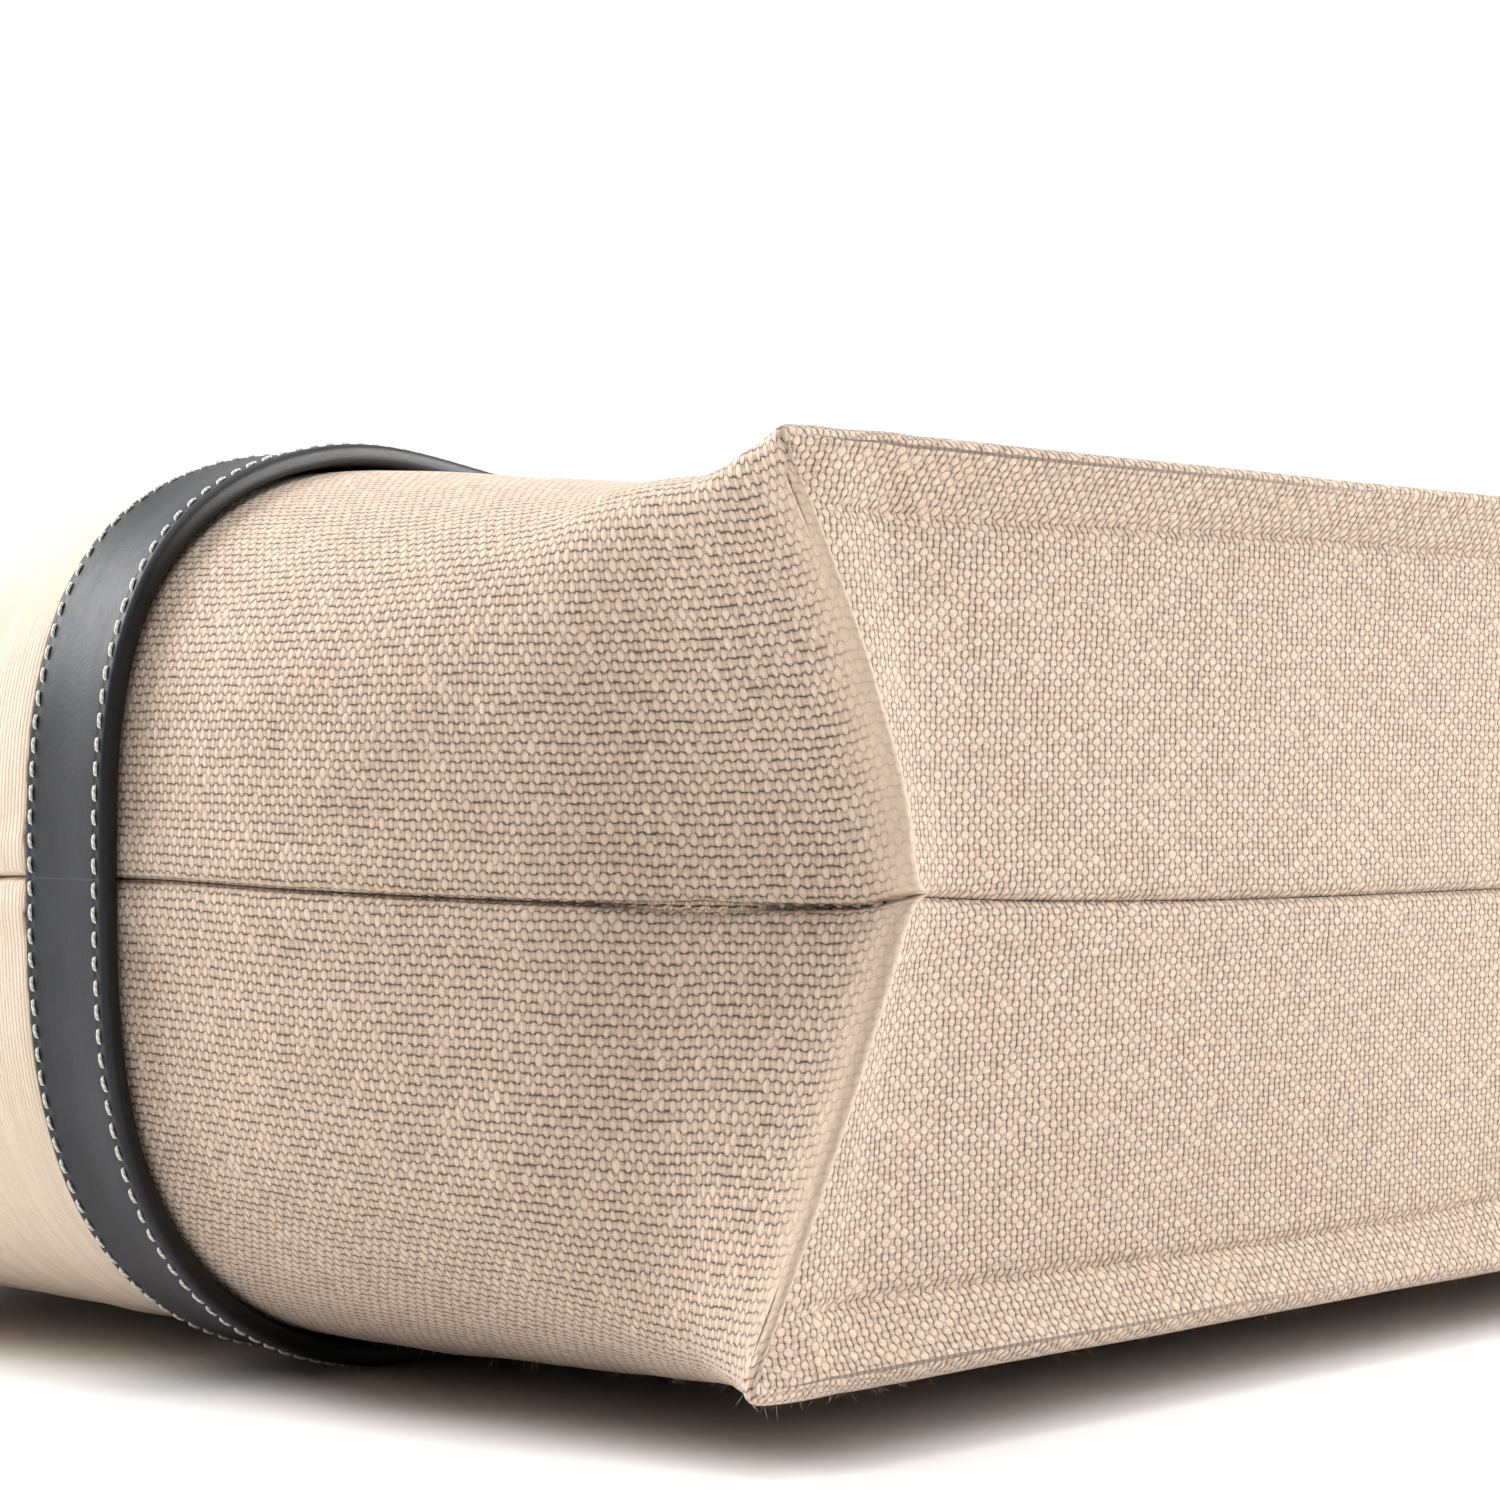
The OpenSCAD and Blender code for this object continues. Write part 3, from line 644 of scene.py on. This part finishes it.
def ribbon_half(top, name, node):
    h = np.broadcast_to(ribbon_rows[:, None], (len(ribbon_rows), len(COLS))).copy()
    v = arcs(outer_skin(h, COLS[None, :], top), 1)
    wave = 0.45 * np.sin(v[0] * 0.78 + 1.3 * np.sin(v[0] * 0.23)) + 0.25 * np.sin(v[0] * 1.9)
    h[0] += wave
    h[1] += wave
    edge = np.zeros_like(h)
    edge[0] = edge[-1] = -0.25
    p = outer_skin(h, COLS[None, :], top, GAP + RIBBON_T + edge)
    coords = np.stack([h, v, np.zeros_like(h)], -1)
    ids = np.arange(h.size).reshape(h.shape)
    obj = make(name, p, grid_faces(ids), coords, materials=[ribbon])
    outward(obj)
    solidify(obj, RIBBON_T - 0.1)
    settle(obj, "bag", [node])


ribbon_half(True, "ribbon_front", "front_ribbon")
ribbon_half(False, "ribbon_back", "back_ribbon")


# ---------------- leather swept along a path
def sweep(name, place, path, profile, edges, coords, stitch, closed, mats):
    """place(path array, across, off) gives points. profile is a closed list of (across, off)."""
    prof = np.array(profile)
    n, m = len(path), len(prof)
    pts = np.stack([place(path, np.full(n, a), np.full(n, o)) for a, o in prof], 1)
    ids = np.arange(n * m).reshape(n, m)
    ring = np.concatenate([ids, ids[:1]]) if closed else ids
    faces = grid_faces(ring, True)
    index = np.tile([1 if j in edges else 0 for j in range(m)], len(ring) - 1)
    lists = [list(f) for f in faces]
    if not closed:
        lists += [list(ids[0]), list(ids[-1][::-1])]
        index = np.concatenate([index, [1, 1]])
    obj = make(name, pts, lists, coords(path, prof).reshape(-1, 3),
               None if stitch is None else stitch(path, prof).reshape(-1, 3), mats, index)
    return closed_normals(obj)


RING_Q = np.concatenate([COLS, COLS[-2:0:-1]])
RING_TOP = np.concatenate([np.ones(len(COLS), bool), np.zeros(len(COLS) - 2, bool)])


def ring_points(sel, h, off, seams=False):
    """Points round the whole bag; sel numbers the columns of the ring."""
    s, top = RING_Q[sel], RING_TOP[sel]
    a = outer_skin(h, s, True, off, seams)
    b = outer_skin(h, s, False, off, seams)
    p = np.where(top[:, None], a, b)
    p[:, 2] = np.maximum(p[:, 2], 0.05)
    return p


ring = np.arange(len(RING_Q))


def ring_arc(h, off):
    """Length round the bag at each ring column, and in whole stitches."""
    p = ring_points(ring, np.full(len(ring), h), np.full(len(ring), off))
    d = np.linalg.norm(np.roll(p, -1, 0) - p, axis=1)
    length = np.concatenate([[0], np.cumsum(d)])
    count = round(length[-1] / STITCH_PITCH)
    return length[:-1], length[:-1] / length[-1] * count


BAND_FACE = 3.75  # how far the band's face stands off the cloth on its mouth side


def band_off(w):
    """Outer face of the band: it stands away from the cloth on its base side."""
    return BAND_FACE + 1.1 * (1 - ease(w / 15))


def make_band():
    w = BAND_W
    profile = [(0.35, 1.25), (0.02, 1.6), (0.0, 2.6), (0.03, 3.6), (0.22, 4.25), (0.7, 4.68),
               (1.4, band_off(1.4))]
    profile += [(a, band_off(a)) for a in np.linspace(3.5, w - 3.5, 10)]
    profile += [(w - 1.4, BAND_FACE), (w - 0.7, 3.62), (w - 0.2, 3.2), (w - 0.02, 2.6), (w, 1.6),
                (w - 0.1, 0.6), (w - 0.6, 0.2), (w - 5, 0.2), (w / 2, 0.35), (4, 0.8)]
    edges = {0, 1, 2, 3, 20, 21, 22}
    first = ring_arc(BAND0 + band_lines[0], 4.8)
    second = ring_arc(BAND0 + band_lines[1], BAND_FACE)

    def place(sel, across, off):
        return ring_points(sel, BAND0 + across, off)

    def coords(path, prof):
        return triple(first[0][:, None], prof[:, 0] + prof[:, 1], 0.0)

    def stitch(path, prof):
        return triple(first[1][:, None], second[1][:, None], prof[:, 0])

    obj = sweep("band", place, ring, profile, edges, coords, stitch, True, [band_leather, painted])
    settle(obj, "bag", ["lower_band"])


make_band()


# ---------------- stitches
def stitch_mesh(centres, along, out, length, width, height, slant=0.12, bow=0.22, sides=7, rings=7):
    """Stitches as small capsules. along and out are unit vectors at each centre."""
    n = len(centres)
    side = np.cross(out, along)
    t = np.linspace(-1, 1, rings)
    fall = np.clip(1 - abs(t) ** 6, 0, 1)
    thick = np.sqrt(np.clip(1 - abs(t) ** 4.5, 0.02, 1))
    ang = np.arange(sides) * 2 * math.pi / sides
    jitter = rng.normal(0, 1, (n, 4))
    lng = length * (1 + 0.04 * jitter[:, 0])
    sl = slant + 0.05 * jitter[:, 1]
    bw = bow * (1 + 0.3 * jitter[:, 2])
    pts = np.zeros((n, rings, sides, 3))
    co = np.zeros((n, rings, sides, 3))
    for i, (ti, fi, th) in enumerate(zip(t, fall, thick)):
        a = (ti * lng / 2)[:, None]
        b = (sl * ti * lng / 2 + bw * (1 - ti * ti))[:, None]
        c = height * (0.35 * fi - 0.9 * abs(ti) ** 5)
        spine = centres + along * a + side * b + out * c
        for j, w in enumerate(ang):
            sideways = side * (math.cos(w) * width / 2 * th)
            pts[:, i, j] = spine + sideways + out * (math.sin(w) * height / 2 * th)
            co[:, i, j] = triple(ti * length / 2, w / 6.2832, np.arange(n))
    ids = np.arange(n * rings * sides).reshape(n, rings, sides)
    after = np.roll(ids, -1, 2)
    wall = np.stack([ids[:, :-1, :], after[:, :-1, :], after[:, 1:, :], ids[:, 1:, :]], -1)
    faces = [list(f) for f in wall.reshape(-1, 4)]
    faces += [list(f[::-1]) for f in ids[:, 0, :]] + [list(f) for f in ids[:, -1, :]]
    return pts.reshape(-1, 3), faces, co.reshape(-1, 3)


def along_line(points, ups, pitch, closed):
    """Stitch centres, directions and outward vectors at a pitch along a polyline."""
    p = np.concatenate([points, points[:1]]) if closed else points
    up = np.concatenate([ups, ups[:1]]) if closed else ups
    length = np.concatenate([[0], np.cumsum(np.linalg.norm(np.diff(p, axis=0), axis=1))])
    count = max(1, round(length[-1] / pitch)) if closed else int(length[-1] / pitch)
    places = (np.arange(count) + 0.5) * (length[-1] / count if closed else pitch)
    if not closed:
        places += (length[-1] - count * pitch) / 2

    def sample(f, x):
        return np.stack([np.interp(x, length, f[:, i]) for i in range(3)], 1)

    c = sample(p, places)
    d = sample(p, np.minimum(places + 0.3, length[-1])) - sample(p, np.maximum(places - 0.3, 0))
    d /= np.linalg.norm(d, axis=1)[:, None]
    o = sample(up, places)
    o -= d * (o * d).sum(1)[:, None]
    size = np.linalg.norm(o, axis=1)[:, None]
    o = np.where(size > 1e-6, o / np.maximum(size, 1e-6), [0, 0, -1.0])
    return c, d, o


def stitches(name, lines, material, body, slot, length=3.45, width=0.72, height=0.62,
             pitch=STITCH_PITCH, **kw):
    pts, faces, co, n = [], [], [], 0
    for points, ups, closed, slant in lines:
        c, d, o = along_line(points, ups, pitch, closed)
        p, f, k = stitch_mesh(c, d, o, length, width, height, slant=slant, **kw)
        pts.append(p)
        faces += [[i + n for i in face] for face in f]
        co.append(k)
        n += len(p)
    obj = make(name, np.concatenate(pts), faces, np.concatenate(co), materials=[material])
    closed_normals(obj)
    settle(obj, body, [])


def ring_line(h, off, slant, seams=False):
    n = len(ring)
    p = ring_points(ring, np.full(n, h), np.full(n, off), seams)
    u = ring_points(ring, np.full(n, h), np.full(n, off + 1.0), seams) - p
    u[np.linalg.norm(u, axis=1) < 1e-6] = (0, 0, -1)
    return p, u, True, slant


stitches("band_stitches", [ring_line(BAND0 + band_lines[0], band_off(band_lines[0]), 0.10),
                           ring_line(BAND0 + band_lines[1], BAND_FACE, 0.10)], thread, "bag", "leather")


# ---------------- leather over the rim of the mouth
BINDING_LINE = 2.4  # its row of stitches, from the edge


def make_binding():
    profile = [(0, 0.2), (0.0, 1.2), (0.25, 1.6), (0.8, 1.75), (4, 1.75), (9, 1.75), (13, 1.72),
               (14.3, 1.3), (15, 0.4), (15.15, -1), (15, -2.4), (14.3, -3.3), (13, -3.72),
               (9, -3.75), (4, -3.75), (0.8, -3.75), (0.25, -3.6), (0, -3.2), (0, -2.2),
               (6, -2.2), (12.8, -2.2), (13.2, -1), (12.8, 0.2), (6, 0.2)]
    first = ring_arc(BINDING0 + BINDING_LINE, 1.75)

    def place(sel, across, off):
        return ring_points(sel, BINDING0 + across, off)

    def coords(path, prof):
        return triple(first[0][:, None], prof[:, 0] - prof[:, 1], 0.0)

    def stitch(path, prof):
        return triple(first[1][:, None], first[1][:, None], prof[:, 0])

    obj = sweep("mouth_leather", place, ring, profile, {0, 1, 16, 17}, coords, stitch, True,
                [trim_leather, painted])
    settle(obj, "bag", ["mouth_binding"])


make_binding()
stitches("mouth_stitches", [ring_line(BINDING0 + BINDING_LINE, 1.75, 0.10)], thread, "bag", "leather")


# ---------------- straps sewn over the faces
def on_face(h, x, top, off, seams=False):
    wide = abs(outer_skin(h, np.full(np.shape(h), -0.3), top, off, seams)[..., 0])
    p = outer_skin(h, -0.3 * abs(x) / wide, top, off, seams)
    return np.stack([np.broadcast_to(x, p[..., 0].shape), p[..., 1], p[..., 2]], -1)


LEG_X, STRAP_W, STRAP_T, LEG_T = 75.0, 24.0, 4.6, 1.8
leg_lift = RIBBON_T + 2 * GAP
LEG0, LEG1 = BAND1 + 0.4, HEIGHT + 1.3


def make_leg(x0, top, name, node):
    w = STRAP_W
    t0, t1 = leg_lift, leg_lift + LEG_T
    profile = [(0.25, t0), (0.0, t0 + 0.35), (0.0, t1 - 0.5), (0.2, t1 - 0.15), (0.7, t1)]
    profile += [(a, t1) for a in np.linspace(2, w - 2, 9)]
    profile += [(w - 0.7, t1), (w - 0.2, t1 - 0.15), (w, t1 - 0.5), (w, t0 + 0.35), (w - 0.25, t0),
                (w / 2, t0)]
    path = np.linspace(LEG0, LEG1, 70)

    def place(h, a, o):
        # the strap rises over the leather of the rim
        p = on_face(h, x0 - w / 2 + a, top, o + 1.0 * ease((h - BINDING0 + 3.5) / 3.5))
        if not top:
            p[..., 2] = np.maximum(p[..., 2], 0.05)
        return p

    def coords(h, prof):
        return triple(h[:, None], prof[:, 0], x0)

    def stitch(h, prof):
        k = (h[:, None] - h[0]) / STITCH_PITCH
        return triple(k, k, prof[:, 0])

    obj = sweep(name, place, path, profile, {0, 1, 2, 13, 14, 15, 16}, coords, stitch, False,
                [strap_leather, painted])
    settle(obj, "bag", [node])
    lines = []
    for a in strap_lines:
        p = place(path, np.full(len(path), a), np.full(len(path), t1))
        up = place(path, np.full(len(path), a), np.full(len(path), t1 + 1.0)) - p
        if not top:
            up = np.tile([0, 0, -1.0], (len(path), 1))
            p[:, 2] = np.maximum(p[:, 2], 0.35)
        lines.append((p, up, False, 0.1))
    return lines


for top, word in ((True, "front"), (False, "back")):
    lines = []
    for x0, where in ((-LEG_X, "left"), (LEG_X, "right")):
        lines += make_leg(x0, top, f"{word}_strap_{where}", f"{word}_leg_{where}")
    stitches(f"{word}_strap_stitches", lines, thread, "bag", "leather")

# ---------------- rolled handle loops
GRIP_R, LOOP_RISE, HINGE_Y = 5.5, 165.0, HEIGHT + 6.0
straight = LOOP_RISE - LEG_X
arc_len = math.pi * LEG_X
loop_len = 2 * straight + arc_len


def loop_frame(d):
    """Points and directions of the loop's middle line at lengths d, flat on its plane."""
    a = np.pi - np.clip((d - straight) / LEG_X, 0, math.pi)
    before, after = d < straight, d > straight + arc_len
    x = np.where(before, -LEG_X, np.where(after, LEG_X, LEG_X * np.cos(a)))
    y = np.where(before, d, np.where(after, loop_len - d, straight + LEG_X * np.sin(a)))
    return np.stack([x, y], -1), np.stack([np.sin(a), -np.cos(a)], -1)


def make_loop(top, name, node, body):
    off = GAP + 2.0 + STRAP_T / 2
    z0 = skin(HEIGHT, -0.3 * LEG_X / abs(skin(HEIGHT, -0.3, top, off)[0]), top, off)[2]
    droop, lift = (0.24, 0.0) if top else (0.0, GRIP_R + 0.3 - z0)
    d = np.concatenate([[-2.4, -2.1, -1.4, -0.4], np.linspace(0.8, loop_len - 0.8, 230),
                        loop_len + np.array([0.4, 1.4, 2.1, 2.4])])
    p, tangent = loop_frame(d)
    nrm = np.stack([tangent[:, 1], -tangent[:, 0]], -1)
    r = ease((np.minimum(d, loop_len - d) - 12) / 34)
    over = np.maximum(0, np.maximum(-d, d - loop_len))
    trim = np.sqrt(np.clip(1 - (over / 2.6) ** 2.2, 0.15, 1))
    half_w = (STRAP_W / 2) * (1 - r) + GRIP_R * r
    half_t = ((STRAP_T / 2) * (1 - r) + GRIP_R * r) * trim
    power = 6 * (1 - r) + 2 * r
    z = z0 - droop * np.maximum(0, p[:, 1]) * (1 + 0.25 * p[:, 1] / LOOP_RISE) + lift * ease(p[:, 1] / 40)
    sides = 32
    a = (np.arange(sides) + 0.5) * 2 * math.pi / sides
    c, s = np.cos(a)[None, :], np.sin(a)[None, :]
    e = 2 / power[:, None]
    u = np.sign(c) * abs(c) ** e * half_w[:, None]
    w = np.sign(s) * abs(s) ** e * half_t[:, None]
    # the wrapped leather meets in a low flat seam along the inner side of the grip
    fin = np.exp(-(((a - math.pi) / 0.26) ** 2))[None, :] * r[:, None]
    u = u * (1 + 0.26 * fin)
    w = w * (1 - 0.25 * fin)
    pts = np.stack([p[:, :1] + nrm[:, :1] * u, p[:, 1:] + nrm[:, 1:] * u + HINGE_Y, z[:, None] + w], -1)
    ids = np.arange(pts.shape[0] * sides).reshape(-1, sides)
    faces = [list(f) for f in grid_faces(ids, True)] + [list(ids[0][::-1]), list(ids[-1])]
    girth = np.cumsum(np.full(sides, 1.4))
    coords = triple(d[:, None], girth, 5.0 if top else 90.0)
    obj = closed_normals(make(name, pts, faces, coords, materials=[loop_leather]))
    settle(obj, body, [node])
    # one row of stitches beside the seam of the grip, and two along each flat end
    mid = r > 0.6
    side_a = math.pi - 0.42
    ca, sa = math.cos(side_a), math.sin(side_a)
    uu, ww = ca * GRIP_R * 1.05, sa * GRIP_R * 1.02
    line = np.stack([p[:, 0] + nrm[:, 0] * uu, p[:, 1] + nrm[:, 1] * uu + HINGE_Y, z + ww], -1)[mid]
    up = np.stack([nrm[:, 0] * ca, nrm[:, 1] * ca, np.full(len(d), sa)], -1)[mid]
    lines = [(line, up, False, 0.08)]
    for end in (d < 24, d > loop_len - 24):
        pick = end & (over < 0.5)
        for k in (-1, 1):
            reach = k * (half_w - 2.4)
            row = np.stack([p[:, 0] + nrm[:, 0] * reach, p[:, 1] + nrm[:, 1] * reach + HINGE_Y,
                            z + half_t * 0.995], -1)[pick]
            lines.append((row, np.tile([0, 0, 1.0], (pick.sum(), 1)), False, 0.08))
    stitches(name + "_stitches", lines, thread, body, "leather", width=0.66, height=0.5)


make_loop(True, "front_handle_grip", "front_loop", "front_handle")
make_loop(False, "back_handle_grip", "back_loop", "back_handle")


# ---------------- inside the bag
def cloth_strip(name, points, thickness, material, nodes, shift=0.0):
    """A thin strip of cloth, thickened both ways from a grid of points."""
    u, v = arcs(points, 0), arcs(points, 1)
    ids = np.arange(u.size).reshape(u.shape)
    coords = np.stack([u + shift, v, np.full_like(u, shift)], -1)
    obj = make(name, points, grid_faces(ids), coords, materials=[material])
    solidify(obj, thickness)
    obj.modifiers["thickness"].offset = 0
    settle(obj, "bag", nodes)


TAPE_W, TAPE_T = 9.0, 1.2
tape_h = np.linspace(18, BINDING0 - 2, 90)
tape_dz = np.linspace(-TAPE_W, TAPE_W, 13)
for side, word in ((-1.0, "left"), (1.0, "right")):
    hh = np.broadcast_to(tape_h[:, None], (len(tape_h), len(tape_dz)))
    base = skin(hh, np.full(hh.shape, side), True, -CANVAS_T - 0.6 - TAPE_T / 2)
    lift = 0.35 * np.cos(tape_dz / TAPE_W * math.pi / 2) + 0.12 * np.sin(hh * 0.9)
    pts = np.stack([base[..., 0] - side * (abs(tape_dz) * 0.06 + 0.5 * lift), base[..., 1],
                    base[..., 2] + np.broadcast_to(tape_dz, hh.shape)], -1)
    cloth_strip(f"seam_tape_{word}", pts, TAPE_T * 0.8, tape, [f"{word}_seam_binding"], 30 * side)
    zz = np.linspace(SEAM[0] - 60, SEAM[0] + 60, 61)[:, None]
    kk = np.linspace(0, 1, 7)[None, :]
    tt = (zz - SEAM[0]) / 75
    wob = 0.5 * np.sin(zz * 0.35) * kk
    pts = np.stack([side * (t_seam_x(zz) - 3.2 - 6 * kk - TAPE_T / 2 - wob),
                    base_line(zz) - LIP * (1 - tt * tt) + 4.5 + 8 * kk, zz + 0 * kk], -1)
    cloth_strip(f"corner_tape_{word}", pts, TAPE_T * 0.8, tape, [f"{word}_corner_binding"],
                60 * side)

xs = np.linspace(-170, 170, 110)[:, None]
dz = np.linspace(-TAPE_W, TAPE_W, 11)[None, :]
zz = base_seam_z(xs) + dz
inside = CANVAS_T + 0.9 + TAPE_T / 2
pts = np.stack([xs + 0 * dz, base_y(xs, zz) + inside - 0.2 * np.cos(dz / TAPE_W * 1.57), zz], -1)
cloth_strip("base_seam_tape", pts, TAPE_T * 0.8, tape, ["base_seam_binding"])

POCKET_X = 78.0
px = np.linspace(-POCKET_X, POCKET_X, 53)[None, :]
ph = np.linspace(150, 250, 41)[:, None]
hh, xx = np.broadcast_arrays(ph, px)
slack = 0.35 * np.sin(hh / 17) * np.cos(xx / 26)
pts = on_face(hh.ravel(), xx.ravel(), False, -CANVAS_T - 1.1 - 0.3 * slack.ravel())
pts = pts.reshape(hh.shape + (3,))
cloth_strip("pocket", pts, 0.9, lining, ["pocket_panel"])
ph = np.linspace(250.3, 268, 10)[:, None]
hh, xx = np.broadcast_arrays(ph, px)
pts = on_face(hh.ravel(), xx.ravel(), False, np.full(hh.size, -CANVAS_T - 1.4)).reshape(hh.shape + (3,))
cloth_strip("pocket_edge", pts, 1.5, trim_leather, ["pocket_trim"])
line = on_face(np.full(53, 253.0), px[0], False, np.full(53, -CANVAS_T - 2.15))
stitches("pocket_stitches", [(line, np.tile([0, 0, 1.0], (53, 1)), False, 0.1)], thread, "bag", "leather",
         width=0.55, height=0.45)

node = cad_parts["base_board"]
node.data.materials.clear()
node.data.materials.append(board)
bevel = node.modifiers.new("round", "BEVEL")
bevel.width, bevel.segments = 0.0008, 3

# ---------------- seams and loose fibres
def seam_threads():
    """Dark sewing thread that shows in the side seams and in the base seam."""
    lines = []
    for side in (-1.0, 1.0):
        h = np.linspace(3, BAND0 - 0.5, 120)
        p = skin(h, np.full(len(h), side), True, -1.75)
        lines.append((p, np.tile([side, 0, 0], (len(h), 1)), False, 0.05))
    x = np.linspace(-190, 190, 200)
    z = base_seam_z(x)
    p = np.stack([x, base_y(x, z) + 1.35 * ease((t_seam_x(z) - abs(x)) / 6) + 1.6, z], -1)
    lines.append((p, np.tile([0, -1.0, 0], (len(x), 1)), False, 0.05))
    stitches("seam_threads", lines, seam_thread, "bag", "canvas", length=2.2, width=0.5, height=0.5,
             pitch=3.1, bow=0.05)


seam_threads()


def fibres(count):
    """Loose fibres that stand off the canvas along its folded edges and lower side."""
    r = np.random.default_rng(5)
    pts, faces, co = [], [], []
    segs = 4
    for i in range(count):
        kind = r.random()
        side = -1.0 if r.random() < 0.7 else 1.0
        if kind < 0.45:    # round the lower side
            h, s, top = r.uniform(2, 143), side * (1 - r.uniform(0.05, 0.62)), False
        elif kind < 0.75:  # along the T seam's folded edge
            h, s, top = r.uniform(0.1, 3), side * (1 - r.uniform(0.0, 0.39)), bool(r.random() < 0.5)
        else:              # along the ridges
            h, s, top = r.uniform(0.1, 3), r.uniform(-0.6, 0.6), bool(r.random() < 0.6)
        p0 = outer_skin(h, s, top, -0.1)
        n = outer_skin(h, s, top, 0.9) - p0
        if h < 3.1:
            n = n + np.array([0, -1.0, 0])
        n = n / np.linalg.norm(n)
        bend = r.normal(0, 1, 3)
        length = r.uniform(0.5, 1.9)
        radius = r.uniform(0.018, 0.035)
        curve = [p0 + n * length * t + bend * length * 0.35 * t * t for t in np.linspace(0, 1, segs)]
        a = np.cross(n, bend)
        a /= np.linalg.norm(a)
        b = np.cross(n, a)
        base = len(pts)
        for j, c in enumerate(curve):
            w = radius * (1 - 0.6 * j / (segs - 1))
            for k in range(3):
                ang = k * 2.0944
                pts.append(c + a * (w * math.cos(ang)) + b * (w * math.sin(ang)))
                co.append((h, s * 300, 0))
        for j in range(segs - 1):
            for k in range(3):
                a0, a1 = base + j * 3 + k, base + j * 3 + (k + 1) % 3
                faces.append([a0, a1, a1 + 3, a0 + 3])
        faces.append([base + 2, base + 1, base])
        last = base + (segs - 1) * 3
        faces.append([last, last + 1, last + 2])
    t = Tree("loose_fibre")
    tint = t.noise(t.vec("MULTIPLY", t.attribute("fabric"), (0.5, 0.5, 1)), 2)
    m = t.finish(Base_Color=t.mix(tint, (0.62, 0.50, 0.38), (0.86, 0.76, 0.64)), Roughness=0.7,
                 Specular_IOR_Level=0.3)
    obj = make("canvas_fibres", pts, faces, np.array(co), materials=[m])
    closed_normals(obj)
    settle(obj, "bag", [])


fibres(1500)

# ---------------- floor, light and camera
mesh = bpy.data.meshes.new("floor")
mesh.from_pydata([(-12, -12, 0), (12, -12, 0), (12, 12, 0), (-12, 12, 0)], [], [(0, 1, 2, 3)])
floor = add("floor", mesh)
t = Tree("floor_paper")
mesh.materials.append(t.finish(Base_Color=(0.88, 0.88, 0.88), Roughness=0.9, Specular_IOR_Level=0.1))

world = bpy.data.worlds.new("studio")
world.use_nodes = True
wt = world.node_tree
toward = wt.nodes.new("ShaderNodeVectorMath")
toward.operation = "DOT_PRODUCT"
toward.inputs[1].default_value = (-0.79, -0.61, 0.0)  # the unlit side of the studio
ray = wt.nodes.new("ShaderNodeTexCoord")
wt.links.new(ray.outputs["Generated"], toward.inputs[0])
fade = wt.nodes.new("ShaderNodeMapRange")
fade.interpolation_type = "SMOOTHSTEP"
for i, value in enumerate((-0.6, 0.55, 1.12, 0.0)):
    fade.inputs[i + 1].default_value = value
wt.links.new(toward.outputs["Value"], fade.inputs[0])
wt.links.new(fade.outputs[0], wt.nodes["Background"].inputs["Strength"])
wt.nodes["Background"].inputs["Color"].default_value = (1.0, 1.0, 1.0, 1)
bpy.context.scene.world = world


def area(name, place, aim, size, watts):
    light = bpy.data.lights.new(name, "AREA")
    light.shape, light.size, light.energy = "SQUARE", size, watts
    obj = add(name, light)
    obj.location = place
    obj.rotation_euler = (Vector(aim) - Vector(place)).to_track_quat("-Z", "Y").to_euler()


area("overhead", (-0.24, -0.2, 1.6), (-0.1, -0.1, 0), 1.4, 23)
area("left_box", (-0.5, 1.2, 0.85), (-0.22, -0.05, 0.08), 0.7, 30)
area("right_box", (1.0, -0.8, 0.6), (0, -0.15, 0.08), 0.7, 22)
bpy.context.scene.view_settings.view_transform = "Standard"

AZIMUTH, PITCH = math.radians(52.57), math.radians(0.25)
cam = bpy.data.cameras.new("camera")
cam.lens, cam.sensor_width, cam.clip_start, cam.clip_end = 108.0, 36.0, 0.01, 60.0
camera = add("camera", cam)
camera.location = (-0.76413, -0.57081, 0.11024)
look = Vector((math.sin(AZIMUTH) * math.cos(PITCH), math.cos(AZIMUTH) * math.cos(PITCH), math.sin(PITCH)))
camera.rotation_euler = look.to_track_quat("-Z", "Y").to_euler()
bpy.context.scene.camera = camera
